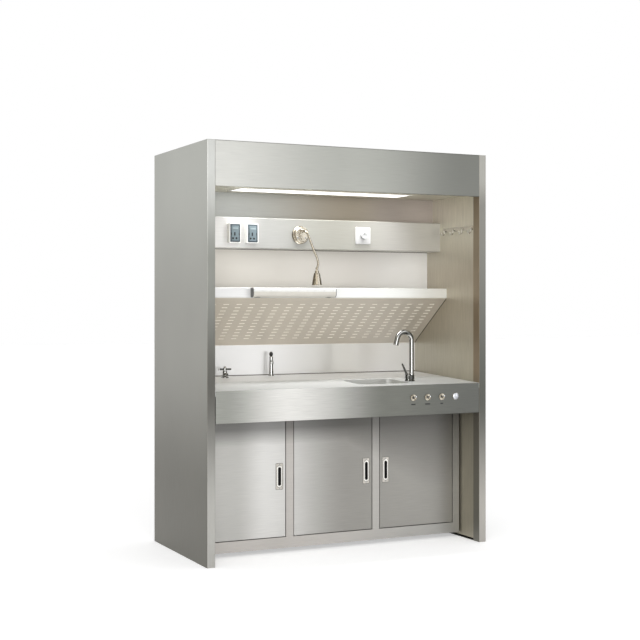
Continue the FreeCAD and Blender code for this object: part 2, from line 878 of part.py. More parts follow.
def switch_bezel(x):
    ball_seat = lever_ball_radius + rest_gap
    dish = bezel_radius - 4
    profile = [(barrel_radius, -sheet), (barrel_radius, 0), (bezel_radius, 0),
               (bezel_radius, bezel_thickness - 1), (bezel_radius - 1, bezel_thickness),
               (dish, bezel_thickness), (ball_seat + 0.5, 1.0), (ball_seat, -barrel_length),
               (2 * barrel_radius, -barrel_length), (2 * barrel_radius, -sheet)]
    bezel = turned(profile, Vector(x, y_at(0), control_z), toward_front)
    half = lever_pin_half + rest_gap
    return bezel.cut(cylinder(x - half, lever_pivot, control_z, lever_pin_radius + running_clearance,
                              2 * half, Vector(1, 0, 0)))


def button_bezel(x):
    wall = 0.8
    inner = button_radius + 0.4
    outer = inner + wall
    floor = -14.0
    guide = button_stem_radius + running_clearance
    profile = [(outer, 0), (button_bezel_radius, 0), (button_bezel_radius - 1, 2), (inner, 2),
               (inner, floor), (guide, floor), (guide, floor - 3), (outer + 3, floor - 3),
               (outer + 3, -sheet), (outer, -sheet)]
    return turned(profile, Vector(x, y_at(0), control_z), toward_front)


def control_bezels():
    return Part.makeCompound([switch_bezel(x) for x in control_x[:3]] + [button_bezel(control_x[3])])


def switch_lever(x):
    tip_along = switch_reach - lever_tip_radius
    base = Vector(x, y_at(lever_pivot), control_z)
    ball = Part.makeSphere(lever_ball_radius, base)
    pin = cylinder(x - lever_pin_half, lever_pivot, control_z, lever_pin_radius, 2 * lever_pin_half,
                   Vector(1, 0, 0))
    length = (tip_along + lever_pivot) / math.cos(math.radians(lever_tilt))
    stem = turned([(0, 0), (lever_radius, 0), (lever_radius + 0.8, length), (0, length)], base,
                  toward_front)
    tip = Part.makeSphere(lever_tip_radius, base + toward_front * length)
    lever = ball.fuse([stem, tip, pin])
    lever.rotate(base, Vector(1, 0, 0), -lever_tilt)
    return lever


def push_button():
    skirt = -button_dome / 2
    profile = [(0, button_dome), (button_radius * 0.45, button_dome - 0.7),
               (button_radius * 0.8, button_dome - 2.6), (button_radius, button_dome - 5),
               (button_radius, skirt), (button_stem_radius, skirt),
               (button_stem_radius, -20.0), (0, -20.0)]
    return turned(profile, Vector(control_x[3], y_at(0), control_z), toward_front)


# Faucet, tap and gas valve

def above_worktop(shape):
    return shape.common(slope_prism(0, body_height / 2))


def lock_nut(x, depth, bore, size):
    nut = cylinder(x, depth, worktop_z(depth) - nut_height, size, 2 * nut_height)
    nut = nut.common(slope_prism(-worktop_height, -worktop_sheet))
    return nut.cut(cylinder(x, depth, worktop_z(depth) - 60, bore / 2, 120))


lever_x = faucet_x - faucet_lever_offset


def faucet_body():
    z = worktop_z(faucet_depth)
    r = faucet_body_radius
    h = faucet_body_height
    centre_x = faucet_x - faucet_body_offset
    profile = [(0, -10), (r, -10), (r, 5), (r - 2, 7), (r - 2, h - 3), (r - 4, h), (0, h)]
    body = above_worktop(upright(profile, centre_x, faucet_depth, z))
    shank = cylinder(centre_x, faucet_depth, z - faucet_shank_length, faucet_shank_radius,
                     faucet_shank_length + 3)
    nut = lock_nut(centre_x, faucet_depth, faucet_shank_radius, 2 * faucet_shank_radius)
    spigot = cylinder(faucet_x, faucet_depth, z + h - faucet_spigot_length - 2,
                      faucet_spigot_radius + running_clearance, faucet_spigot_length + 10)
    stub = cylinder(lever_x, faucet_depth, z + h - 14, faucet_stub_radius + running_clearance, 20)
    return body.fuse([shank, nut]).cut([spigot, stub])


def faucet_spout():
    z = worktop_z(faucet_depth)
    base = z + faucet_body_height + rest_gap
    top = z + faucet_top - faucet_tube_radius
    lean = math.radians(faucet_outlet_lean)
    tangent = faucet_arch_radius * math.tan((math.pi / 2 - lean) / 2)
    far_x = faucet_x - faucet_arch_radius - tangent - 0.02
    run = tangent + faucet_outlet_run
    direction = Vector(-math.sin(lean), 0, -math.cos(lean))
    end = Vector(far_x, 0, top) + direction * run
    points = [(faucet_x, faucet_depth, base + 4), (faucet_x, faucet_depth, top),
              (far_x, faucet_depth, top), (end.x, faucet_depth, end.z)]
    pipe = tube(points, [faucet_arch_radius, faucet_arch_radius], faucet_tube_radius)
    collar = upright([(0, -faucet_spigot_length), (faucet_spigot_radius, -faucet_spigot_length),
                      (faucet_spigot_radius, 0), (faucet_tube_radius + 1.5, 0),
                      (faucet_tube_radius + 1.5, 8), (faucet_tube_radius, 10), (0, 10)],
                     faucet_x, faucet_depth, base)
    aerator = Part.makeCylinder(aerator_radius, aerator_length,
                                Vector(end.x, y_at(faucet_depth), end.z), direction)
    return pipe.fuse([collar, aerator])


def faucet_lever():
    z = worktop_z(faucet_depth) + faucet_body_height
    r = faucet_lever_radius
    cap = upright([(0, -12), (faucet_stub_radius, -12), (faucet_stub_radius, rest_gap), (r, rest_gap),
                   (r, 6), (r - 2, 8), (0, 9)], lever_x, faucet_depth, z)
    lean = math.radians(faucet_lever_lean)
    direction = Vector(-math.sin(lean), 0, math.cos(lean))
    foot = Vector(lever_x, y_at(faucet_depth), z + 4)
    stick = Part.makeCone(3.8, 3.2, faucet_lever_length, foot, direction)
    tip = Part.makeSphere(3.8, foot + direction * faucet_lever_length)
    return cap.fuse([stick, tip])


def tap_body():
    z = worktop_z(tap_depth)
    r = tap_radius
    h = tap_height
    profile = [(0, -10), (r + 4, -10), (r + 4, 4), (r + 1, 6), (r - 2, h - 20), (r - 2, h - 3),
               (r - 4, h), (0, h)]
    body = above_worktop(upright(profile, tap_x, tap_depth, z))
    outlet = z + h - 24
    nozzle = tube([(tap_x, tap_depth, outlet), (tap_x, tap_depth - 18, outlet),
                   (tap_x, tap_depth - 22, outlet - 16)], [7], 4.5)
    shank = cylinder(tap_x, tap_depth, z - fitting_shank_length, fitting_shank_radius,
                     fitting_shank_length + 5)
    nut = lock_nut(tap_x, tap_depth, fitting_shank_radius, 2 * fitting_shank_radius)
    bore = cylinder(tap_x, tap_depth, z + h - 12, spindle_radius + running_clearance, 20)
    return body.fuse([nozzle, shank, nut]).cut(bore)


def tap_knob():
    r = tap_knob_radius
    profile = [(0, -10), (spindle_radius, -10), (spindle_radius, rest_gap), (r - 3, rest_gap),
               (r, 5), (r + 1, 12), (r - 1, 19), (r - 5, 23), (0, 24)]
    return upright(profile, tap_x, tap_depth, worktop_z(tap_depth) + tap_height)


def valve_body():
    z = worktop_z(valve_depth)
    r = valve_radius
    h = valve_height
    profile = [(0, -10), (r + 9, -10), (r + 9, 3), (r + 3, 5), (r, 9), (r, h - 8), (r - 3, h), (0, h)]
    body = above_worktop(upright(profile, valve_x, valve_depth, z))
    nozzle = turned([(0, 0), (7, 0), (7, 6), (4.5, 8), (6, 14), (4.5, 16), (6, 22), (4.5, 26), (0, 26)],
                    Vector(valve_x, y_at(valve_depth) - r + 2, z + h / 2), toward_front)
    shank = cylinder(valve_x, valve_depth, z - fitting_shank_length, fitting_shank_radius,
                     fitting_shank_length + 5)
    nut = lock_nut(valve_x, valve_depth, fitting_shank_radius, 2 * fitting_shank_radius)
    bore = cylinder(valve_x, valve_depth, z + h - 12, spindle_radius + running_clearance, 20)
    return body.fuse([nozzle, shank, nut]).cut(bore)


def valve_handle():
    z = worktop_z(valve_depth) + valve_height
    hub = upright([(0, -10), (spindle_radius, -10), (spindle_radius, rest_gap), (9, rest_gap), (9, 12),
                   (6, 16), (6, 19), (3, 22), (0, 22)], valve_x, valve_depth, z)
    wing = rounded_slab(valve_wing_length, valve_wing_width, 9, valve_wing_width / 2 - 0.1)
    wing.translate(Vector(valve_x, y_at(valve_depth), z + 2))
    return hub.fuse(wing)


# Hook rail

def hook_rail():
    face = liner_x - hook_rail_thickness
    rail = box(face, liner_x, hook_rail_front, hook_rail_front + hook_rail_length, hook_rail_z,
               hook_rail_z + hook_rail_height)
    hooks = []
    for index in range(hook_count):
        depth = hook_first + index * hook_pitch
        top = hook_rail_z + hook_rail_height / 2
        back = face - hook_out
        tip = back - hook_throat
        points = [(face + 1, depth, top), (back, depth, top), (back, depth, top - hook_fall),
                  (tip, depth, top - hook_fall), (tip, depth, top - hook_fall + hook_rise)]
        round_bottom = hook_throat / 2 - 0.1
        hooks.append(tube(points, [6, round_bottom, round_bottom], hook_wire))
    return rail.fuse(hooks)


# Base cabinet and doors

bays_together = 2 * (cabinet_half - stile_width - mullion_width)
bay_edges = {}
bay_start = -cabinet_half + stile_width
for door_name, share in (("left", left_bay_share), ("middle", middle_bay_share),
                         ("right", 1 - left_bay_share - middle_bay_share)):
    bay_edges[door_name] = (bay_start, bay_start + bays_together * share)
    bay_start = bay_edges[door_name][1] + mullion_width

frame_top = worktop_z(cabinet_depth) - worktop_sheet
frame_back = cabinet_depth + frame_depth


def pivot_place(name):
    left, right = bay_edges[name]
    offset = door_gap + pivot_from_edge
    return (right - offset if name == "right" else left + offset), cabinet_depth + pivot_from_face


def cabinet_face_frame():
    rail_top = door_top + top_rail
    frame = box(-cabinet_half, cabinet_half, cabinet_depth, frame_back, cabinet_bottom, frame_top)
    post = cabinet_half - stile_width
    over_rail = box(-post, post, cabinet_depth - 1, frame_back + 1, rail_top, frame_top + 1)
    frame = frame.cut(over_rail)
    doors = [box(left, right, cabinet_depth - 1, frame_back + 1, door_bottom, door_top)
             for left, right in bay_edges.values()]
    hollow = box(-cabinet_half + sheet, cabinet_half - sheet, cabinet_depth + sheet, frame_back + 1,
                 cabinet_bottom + sheet, frame_top - sheet)
    walls = [box(left - sheet, right + sheet, cabinet_depth, frame_back + 1, door_bottom - sheet,
                 door_top + sheet) for left, right in bay_edges.values()]
    walls.append(box(-post - sheet, post + sheet, cabinet_depth, frame_back + 1, rail_top - sheet,
                     frame_top))
    frame = frame.cut(doors).cut(hollow.cut(walls))
    bores = []
    for name in bay_edges:
        x, depth = pivot_place(name)
        for z in (door_bottom - 2 * sheet, door_top - sheet):
            bores.append(cylinder(x, depth, z, bush_radius, 3 * sheet))
    return frame.cut(bores)


def cabinet_carcass():
    top = worktop_z(cabinet_back)
    block = box(-cabinet_half, cabinet_half, frame_back, cabinet_back, cabinet_bottom, top)
    inside = box(-cabinet_half + sheet, cabinet_half - sheet, frame_back - 1, cabinet_back - sheet,
                 door_bottom, top + 1)
    below = box(-cabinet_half + sheet, cabinet_half - sheet, frame_back - 1, cabinet_back - sheet,
                cabinet_bottom - 1, door_bottom - sheet)
    return block.cut([inside, below]).common(slope_prism(-worktop_height, -worktop_sheet))


def levelling_feet():
    shapes = []
    for side in (-1, 1):
        for depth in (foot_depth_front, foot_depth_rear):
            x = side * (cabinet_half - foot_inset_x)
            profile = [(0, 0), (foot_radius, 0), (foot_radius, foot_pad / 2),
                       (foot_stud + 4, foot_pad), (foot_stud, foot_pad + 4),
                       (foot_stud, door_bottom - sheet - 8), (foot_stud + 6, door_bottom - sheet - 8),
                       (foot_stud + 6, door_bottom - sheet), (0, door_bottom - sheet)]
            shapes.append(upright(profile, x, depth, 0))
    return Part.makeCompound(shapes)


def hinge_bushes():
    bore = pivot_radius + pivot_clearance
    length = pivot_depth
    t = bush_flange_thickness
    profile = [(bore, t), (bush_flange, t), (bush_flange, 0), (bush_radius, 0),
               (bush_radius, -length), (bore, -length)]
    shapes = []
    for name in bay_edges:
        x, depth = pivot_place(name)
        lower = upright(profile, x, depth, door_bottom)
        shapes.append(lower)
        shapes.append(lower.mirror(Vector(0, 0, (door_bottom + door_top) / 2), Vector(0, 0, 1)))
    return Part.makeCompound(shapes)


def pull_place(name):
    left, right = bay_edges[name]
    offset = door_gap + pull_from_edge
    return left + offset if name == "right" else right - offset


def stadium(width, height, thickness):
    return rounded_slab(width, height, thickness, width / 2 - 0.05)


def door(name):
    left, right = bay_edges[name]
    bottom = door_bottom + door_gap
    top = door_top - door_gap
    slab = box(left + door_gap, right - door_gap, cabinet_depth, cabinet_depth + door_thickness,
               bottom, top)
    front_edges = [edge for edge in slab.Edges
                   if abs(edge.BoundBox.YMax - y_at(cabinet_depth)) < 1e-6]
    slab = slab.makeFillet(door_edge_radius, front_edges)
    hollow = box(left + door_gap + sheet, right - door_gap - sheet, cabinet_depth + sheet,
                 cabinet_depth + door_thickness - sheet, bottom + sheet, top - sheet)
    wall = pull_slot_width + 2 * sheet
    tall = pull_slot_height + 2 * sheet
    pocket = stadium(wall + rest_gap, tall + rest_gap, pull_recess + sheet + rest_gap)
    pocket = facing_front(pocket, pull_place(name),
                          cabinet_depth + pull_recess + sheet + rest_gap, pull_centre)
    x, depth = pivot_place(name)
    blocks = [box(x - pivot_block, x + pivot_block, cabinet_depth, cabinet_depth + door_thickness,
                  z, z + pivot_block) for z in (bottom, top - pivot_block)]
    hollow = hollow.cut(blocks)
    shoulder = door_gap - bush_flange_thickness - rest_gap
    pin = upright([(0, 2.0), (pivot_shoulder, 2.0), (pivot_shoulder, -shoulder),
                   (pivot_radius, -shoulder), (pivot_radius, -pivot_depth), (0, -pivot_depth)],
                  x, depth, bottom)
    upper = pin.mirror(Vector(0, 0, (bottom + top) / 2), Vector(0, 0, 1))
    return slab.cut(hollow).cut(pocket).fuse([pin, upper])


def door_pull(name):
    plate = rounded_slab(pull_width, pull_height, pull_plate, 3.0)
    rim = stadium(pull_slot_width + 2 * pull_rim, pull_slot_height + 2 * pull_rim,
                  pull_plate + pull_rim_height)
    cup = stadium(pull_slot_width + 2 * sheet, pull_slot_height + 2 * sheet, pull_recess + sheet)
    cup.translate(Vector(0, 0, -pull_recess - sheet))
    recess = stadium(pull_slot_width, pull_slot_height, pull_recess + pull_plate + 2)
    recess.translate(Vector(0, 0, -pull_recess))
    pull = plate.fuse([rim, cup]).cut(recess)
    return facing_front(pull, pull_place(name), cabinet_depth, pull_centre)


# Fan and exhaust collar

housing_bottom = roof_under - fan_housing_length


def fan_housing():
    outer = duct_radius + duct_wall
    flare = fan_mouth_flare
    length = fan_housing_length
    profile = [(duct_radius, 0), (duct_flange_radius, 0), (duct_flange_radius, -duct_flange_thickness),
               (outer, -duct_flange_thickness), (outer, -length + flare), (outer + 4, -length + 4),
               (outer + flare, -length), (outer + flare - 2, -length - duct_wall + 0.5),
               (duct_radius + 3, -length + 3), (duct_radius, -length + flare)]
    return upright(profile, 0, fan_depth, roof_under)


def fan_motor():
    z = housing_bottom + motor_bottom
    can = upright([(0, 0), (motor_radius - 6, 0), (motor_radius, 6), (motor_radius, motor_length - 3),
                   (motor_radius - 3, motor_length), (0, motor_length)], 0, fan_depth, z)
    arms = []
    for index in range(spider_arms):
        arm = Part.makeBox(duct_radius - 10, spider_thickness, spider_height,
                           Vector(10, -spider_thickness / 2, 0))
        arm.rotate(Vector(0, 0, 0), Vector(0, 0, 1), 90 + 360 * index / spider_arms)
        arm.translate(Vector(0, y_at(fan_depth), z + 10))
        arms.append(arm.common(cylinder(0, fan_depth, z, duct_radius, motor_length)))
    bore = cylinder(0, fan_depth, z + motor_length - 25, motor_shaft_radius + running_clearance, 40)
    return can.fuse(arms).cut(bore)


def blade_section(radius, pitch):
    angle = math.radians(pitch)
    along = Vector(0, math.cos(angle), math.sin(angle)) * (blade_chord / 2)
    across = Vector(0, -math.sin(angle), math.cos(angle)) * (blade_thickness / 2)
    middle = Vector(radius, 0, 0)
    corners = [middle + along + across, middle - along + across, middle - along - across,
               middle + along - across]
    return Part.makePolygon(corners + [corners[0]])


def fan_impeller():
    z = housing_bottom + motor_bottom + motor_length + 2
    hub = upright([(0, -20), (motor_shaft_radius, -20), (motor_shaft_radius, 0), (hub_radius, 0),
                   (hub_radius, hub_height - 8), (hub_radius - 8, hub_height), (0, hub_height)],
                  0, fan_depth, z)
    tip = duct_radius - blade_tip_gap
    blade = Part.makeLoft([blade_section(hub_radius - 3, blade_root_pitch),
                           blade_section((hub_radius + tip) / 2,
                                         (blade_root_pitch + blade_tip_pitch) / 2),
                           blade_section(tip - 2, blade_tip_pitch)], True, True)
    blade.translate(Vector(0, y_at(fan_depth), z + hub_height / 2 - 2))
    blades = []
    for index in range(blade_count):
        copy = blade.copy()
        copy.rotate(Vector(0, y_at(fan_depth), 0), Vector(0, 0, 1), 360 * index / blade_count)
        blades.append(copy)
    return hub.fuse(blades)


def exhaust_collar():
    inner = duct_radius - duct_wall
    flange = duct_flange_thickness
    profile = [(inner, 0), (duct_flange_radius, 0), (duct_flange_radius, flange),
               (duct_radius, flange), (duct_radius, collar_height), (inner, collar_height)]
    return upright(profile, 0, fan_depth, body_height)


def panel_screws():
    head = [(0, 0), (screw_radius, 0), (screw_radius, screw_height / 2),
            (screw_radius / 2, screw_height), (0, screw_height)]
    shapes = []
    rows = rear_screw_rows - 1
    for index in range(rear_screw_rows):
        z = rear_screw_first + index * (body_height - 2 * rear_screw_first) / rows
        for side in (-1, 1):
            place = Vector(side * (half_width - rear_flange / 2), y_at(body_depth), z)
            shapes.append(turned(head, place, Vector(0, 1, 0)))
    ring = (duct_radius + duct_flange_radius) / 2
    for index in range(collar_screws):
        angle = math.radians(30 + 360 * index / collar_screws)
        place = Vector(ring * math.cos(angle), y_at(fan_depth) + ring * math.sin(angle),
                       body_height + duct_flange_thickness)
        shapes.append(turned(head, place, Vector(0, 0, 1)))
    return Part.makeCompound(shapes)


right_panel = side_panel()
right_liner = inner_liner()

nodes = {
    "left_side_panel": mirrored(right_panel),
    "right_side_panel": right_panel,
    "left_inner_liner": mirrored(right_liner),
    "right_inner_liner": right_liner,
    "rear_panel": rear_panel(),
    "roof_panel": roof_panel(),
    "fascia_panel": fascia_panel(),
    "ceiling_panel": ceiling_panel(),
    "ceiling_light_frame": ceiling_light_frame(),
    "ceiling_light_diffuser": ceiling_light_diffuser(),
    "upper_rear_wall": upper_rear_wall(),
    "service_box": service_box(),
    "lower_rear_wall": lower_rear_wall(),
    "shelf": shelf(),
    "intake_panel": intake_panel(),
    "socket_boxes": socket_boxes(),
    "socket_inserts": socket_inserts(),
    "dimmer_plate": dimmer_plate(),
    "dimmer_knob": dimmer_knob(),
    "lamp_base": lamp_base(),
    "lamp_arm": lamp_arm(),
    "lamp_head": lamp_head(),
    "lamp_lens": lamp_lens(),
    "shelf_lamp_body": shelf_lamp_body(),
    "shelf_lamp_diffuser": shelf_lamp_diffuser(),
    "shelf_lamp_end_caps": shelf_lamp_end_caps(),
    "worktop": worktop(),
    "backsplash": backsplash(),
    "sink_bowl": sink_bowl(),
    "sink_strainer": sink_strainer(),
    "drain_trap": drain_trap(),
    "apron_panel": apron_panel(),
    "control_bezels": control_bezels(),
    "push_button": push_button(),
    "faucet_body": faucet_body(),
    "faucet_spout": faucet_spout(),
    "faucet_lever": faucet_lever(),
    "tap_body": tap_body(),
    "tap_knob": tap_knob(),
    "valve_body": valve_body(),
    "valve_handle": valve_handle(),
    "hook_rail": hook_rail(),
    "cabinet_face_frame": cabinet_face_frame(),
    "cabinet_carcass": cabinet_carcass(),
    "levelling_feet": levelling_feet(),
    "hinge_bushes": hinge_bushes(),
    "fan_housing": fan_housing(),
    "fan_motor": fan_motor(),
    "fan_impeller": fan_impeller(),
    "exhaust_collar": exhaust_collar(),
    "panel_screws": panel_screws(),
}
for index in range(3):
    nodes["switch_lever_%d" % (index + 1)] = switch_lever(control_x[index])
for name in bay_edges:
    nodes[name + "_door"] = door(name)
    nodes[name + "_door_pull"] = door_pull(name)

for name, shape in nodes.items():
    if not shape.isValid():
        print("not valid:", name)
    shape.exportStep("parts/%s.step" % name)
    print("%-24s %2d solids %10.0f mm3" % (name, len(shape.Solids), shape.Volume))
print(len(nodes), "nodes")
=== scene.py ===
# %% [markdown]
# # Pathology workstation in brushed stainless steel
# The imported CAD model is the frame: every piece here sits in its coordinates, in metres, with the
# open front towards -Y. The first cell loads it and keeps its box, which is printed, and the last
# cell prints the box of the dressed model.

# %% Load the frame
import json
import math

import bmesh
import bpy
from mathutils import Matrix, Vector


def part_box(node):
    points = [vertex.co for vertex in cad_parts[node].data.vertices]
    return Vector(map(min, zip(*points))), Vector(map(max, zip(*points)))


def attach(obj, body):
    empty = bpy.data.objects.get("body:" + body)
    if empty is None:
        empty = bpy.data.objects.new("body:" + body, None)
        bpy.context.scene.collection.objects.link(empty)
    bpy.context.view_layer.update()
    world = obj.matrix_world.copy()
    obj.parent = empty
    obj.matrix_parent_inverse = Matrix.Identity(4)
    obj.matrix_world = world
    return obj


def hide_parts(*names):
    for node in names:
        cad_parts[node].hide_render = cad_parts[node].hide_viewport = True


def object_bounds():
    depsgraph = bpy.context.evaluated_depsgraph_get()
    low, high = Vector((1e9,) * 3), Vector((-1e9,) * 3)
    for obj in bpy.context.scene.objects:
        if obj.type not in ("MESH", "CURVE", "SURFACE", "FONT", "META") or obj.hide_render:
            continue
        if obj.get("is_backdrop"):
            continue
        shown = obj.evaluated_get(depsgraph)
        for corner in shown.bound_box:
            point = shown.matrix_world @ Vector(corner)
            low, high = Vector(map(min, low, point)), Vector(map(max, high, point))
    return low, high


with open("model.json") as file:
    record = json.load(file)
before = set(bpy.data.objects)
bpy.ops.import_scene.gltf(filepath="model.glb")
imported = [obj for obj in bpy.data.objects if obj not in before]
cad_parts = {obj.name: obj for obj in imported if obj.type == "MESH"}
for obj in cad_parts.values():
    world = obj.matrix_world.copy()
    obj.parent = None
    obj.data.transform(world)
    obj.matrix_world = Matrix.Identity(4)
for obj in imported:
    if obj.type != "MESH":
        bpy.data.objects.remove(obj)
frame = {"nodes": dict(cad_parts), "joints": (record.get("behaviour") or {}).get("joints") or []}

MM = 0.001
NODES = frame["nodes"]
CABINET = "cabinet"
cad_low, cad_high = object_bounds()
print("CAD box", [round(v, 4) for v in (*cad_low, *cad_high)])

# %% [markdown]
# The camera stands where the photograph was taken: at about chest height, to the left of the bench,
# and level, so that all uprights stay upright in the picture. A small downward shift of the frame
# does what tilting the camera would do, without making the uprights lean together.

# %% Camera
PHOTO_WIDTH = 640
FOCAL_PIXELS = 1278.98
HORIZON_PIXEL = 302.18
SENSOR_WIDTH = 36.0
CAMERA_X = -2.81999
CAMERA_BEFORE_FRONT = 5.44505
CAMERA_HEIGHT = 1.20878
CAMERA_TURN = math.radians(-25.858)

front_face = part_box("fascia_panel")[0].y
camera_data = bpy.data.cameras.new("Camera")
camera_data.sensor_width = SENSOR_WIDTH
camera_data.lens = FOCAL_PIXELS * SENSOR_WIDTH / PHOTO_WIDTH
camera_data.shift_y = (HORIZON_PIXEL - PHOTO_WIDTH / 2) / PHOTO_WIDTH
camera = bpy.data.objects.new("Camera", camera_data)
camera.location = (CAMERA_X, front_face - CAMERA_BEFORE_FRONT, CAMERA_HEIGHT)
camera.rotation_euler = (math.radians(90), 0, CAMERA_TURN)
bpy.context.scene.collection.objects.link(camera)
bpy.context.scene.camera = camera
print("Lens", round(camera_data.lens, 2), "mm")

# %% [markdown]
# ## Studio
# The room is a pale floor under an even white sky. For the camera and for reflections the sky is
# plain white, and for everything else it is a little weaker, which leaves room for the lamps. The
# floor glows a little for the same rays, so it renders nearly white and keeps the bench's shadow.

# %% World and floor
SKY_LEVEL = 0.62
FLOOR_GLOW = 0.42
FLOOR_REACH = 30
WHITE = (1, 1, 1, 1)


def node_tree(owner):
    owner.use_nodes = True
    tree = owner.node_tree
    tree.nodes.clear()
    return tree


def add_node(tree, kind, **inputs):
    node = tree.nodes.new(kind)
    for name, value in inputs.items():
        node.inputs[name.replace("_", " ")].default_value = value
    return node


def feed(tree, socket, value):
    """Gives a socket either another node's result or a plain number."""
    if isinstance(value, bpy.types.NodeSocket):
        tree.links.new(value, socket)
    else:
        socket.default_value = value


def calculated(tree, operation, *values):
    node = add_node(tree, "ShaderNodeMath")
    node.operation = operation
    for socket, value in zip(node.inputs, values):
        feed(tree, socket, value)
    return node.outputs[0]


def seen_directly(tree):
    """1 for rays from the camera, off metal and through glass, 0 for rays that only light things."""
    path = add_node(tree, "ShaderNodeLightPath")
    total = path.outputs["Is Camera Ray"]
    for kind in ("Is Glossy Ray", "Is Transmission Ray"):
        total = calculated(tree, "MAXIMUM", total, path.outputs[kind])
    return total


world = bpy.data.worlds.new("Studio")
bpy.context.scene.world = world
sky = node_tree(world)
sky_out = add_node(sky, "ShaderNodeOutputWorld")
sky_light = add_node(sky, "ShaderNodeBackground", Color=WHITE, Strength=SKY_LEVEL)
sky_seen = add_node(sky, "ShaderNodeBackground", Color=WHITE, Strength=1.0)
sky_mix = add_node(sky, "ShaderNodeMixShader")
sky.links.new(seen_directly(sky), sky_mix.inputs["Fac"])
sky.links.new(sky_light.outputs[0], sky_mix.inputs[1])
sky.links.new(sky_seen.outputs[0], sky_mix.inputs[2])
sky.links.new(sky_mix.outputs[0], sky_out.inputs["Surface"])

floor_material = bpy.data.materials.new("pale_floor")
floor_tree = node_tree(floor_material)
floor_out = add_node(floor_tree, "ShaderNodeOutputMaterial")
floor_shader = add_node(floor_tree, "ShaderNodeBsdfPrincipled", Roughness=0.7,
                        Base_Color=(0.86, 0.86, 0.86, 1), Emission_Color=WHITE)
floor_glow = calculated(floor_tree, "MULTIPLY", seen_directly(floor_tree), FLOOR_GLOW)
floor_tree.links.new(floor_glow, floor_shader.inputs["Emission Strength"])
floor_tree.links.new(floor_shader.outputs[0], floor_out.inputs["Surface"])

floor_mesh = bmesh.new()
bmesh.ops.create_grid(floor_mesh, x_segments=1, y_segments=1, size=FLOOR_REACH)
floor_data = bpy.data.meshes.new("floor")
floor_mesh.to_mesh(floor_data)
floor_mesh.free()
floor = bpy.data.objects.new("floor", floor_data)
floor_data.materials.append(floor_material)
bpy.context.scene.collection.objects.link(floor)
floor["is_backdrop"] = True
print("Sky level", SKY_LEVEL, "floor", 2 * FLOOR_REACH, "m wide")

# %% [markdown]
# Soft area lamps shape the metal: a broad key high in front on the left, a weaker fill from the
# right, one near the camera's line of sight that reaches into the bench, and a small one under the
# ceiling light, where the real bench has its tube.

# %% Lamps
def area_lamp(name, place, target, size, power, spread=180.0):
    data = bpy.data.lights.new(name, "AREA")
    data.shape = "RECTANGLE"
    data.size, data.size_y = size
    data.energy = power
    data.spread = math.radians(spread)
    lamp = bpy.data.objects.new(name, data)
    lamp.location = place
    aim = Vector(target) - Vector(place)
    lamp.rotation_euler = aim.to_track_quat("-Z", "Y").to_euler()
    bpy.context.scene.collection.objects.link(lamp)


WORKTOP_LEVEL = 0.8
light_low, light_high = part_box("ceiling_light_diffuser")
light_x, light_y = (light_low.x + light_high.x) / 2, (light_low.y + light_high.y) / 2
area_lamp("key", (-2.4, -4.2, 3.6), (0, 0, 1.1), (2.6, 2.0), power=48)
area_lamp("fill", (3.0, -3.6, 1.6), (0, 0, 0.9), (2.0, 2.4), power=16)
area_lamp("front", (-1.7, -4.3, 1.4), (0, 0, 1.2), (2.6, 2.0), power=48)
area_lamp("bench_light", (light_x, light_y, light_low.z - 4 * MM), (light_x, light_y, WORKTOP_LEVEL),
          (light_high.x - light_low.x, light_high.y - light_low.y), power=3.0, spread=100)
print("Lamps:", len(bpy.data.lights))

# %% [markdown]
# ## Building blocks for materials
# Every finish is built from the same few nodes, so each gets a small helper: a noise, a change of
# range, a bump, a mix, and a ramp of colours along X, Y or Z. All patterns read the Object
# coordinates, so they stay on a piece when it moves.

# %% Node helpers
HALF_WIDTH = (cad_high.x - cad_low.x) / 2
SPANS = {"X": (-HALF_WIDTH, HALF_WIDTH), "Y": (cad_low.y, cad_high.y),
         "Z": (0.0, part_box("roof_panel")[1].z)}


def srgb(red, green, blue):
    """A colour as it is read from a screen, 0 to 255, turned into the linear one that nodes use."""
    def linear(value):
        value /= 255
        return value / 12.92 if value <= 0.04045 else ((value + 0.055) / 1.055) ** 2.4
    return (linear(red), linear(green), linear(blue), 1)


def new_material(name):
    material = bpy.data.materials.new(name)
    tree = node_tree(material)
    shader = add_node(tree, "ShaderNodeBsdfPrincipled")
    out = add_node(tree, "ShaderNodeOutputMaterial")
    tree.links.new(shader.outputs[0], out.inputs["Surface"])
    return material, tree, shader


def object_place(tree, scale=(1, 1, 1)):
    coordinates = add_node(tree, "ShaderNodeTexCoord")
    mapping = add_node(tree, "ShaderNodeMapping", Scale=scale)
    tree.links.new(coordinates.outputs["Object"], mapping.inputs["Vector"])
    return mapping.outputs["Vector"]


def place_along(tree, axis):
    split = add_node(tree, "ShaderNodeSeparateXYZ")
    tree.links.new(object_place(tree), split.inputs[0])
    return split.outputs[axis]


def noise(tree, place, scale, detail=2.0):
    node = add_node(tree, "ShaderNodeTexNoise", Scale=scale, Detail=detail)
    tree.links.new(place, node.inputs["Vector"])
    return node.outputs["Fac"]


def ranged(tree, value, low, high, from_low=0.0, from_high=1.0):
    node = add_node(tree, "ShaderNodeMapRange", From_Min=from_low, From_Max=from_high, To_Min=low,
                    To_Max=high)
    tree.links.new(value, node.inputs["Value"])
    return node.outputs["Result"]


def around_middle(tree, value, low, high):
    """Spreads a noise, whose values lie mostly around a half, over a range."""
    return ranged(tree, value, low, high, 0.3, 0.7)


def bumped(tree, shader, height, strength, distance):
    bump = add_node(tree, "ShaderNodeBump", Strength=strength, Distance=distance)
    tree.links.new(height, bump.inputs["Height"])
    tree.links.new(bump.outputs["Normal"], shader.inputs["Normal"])


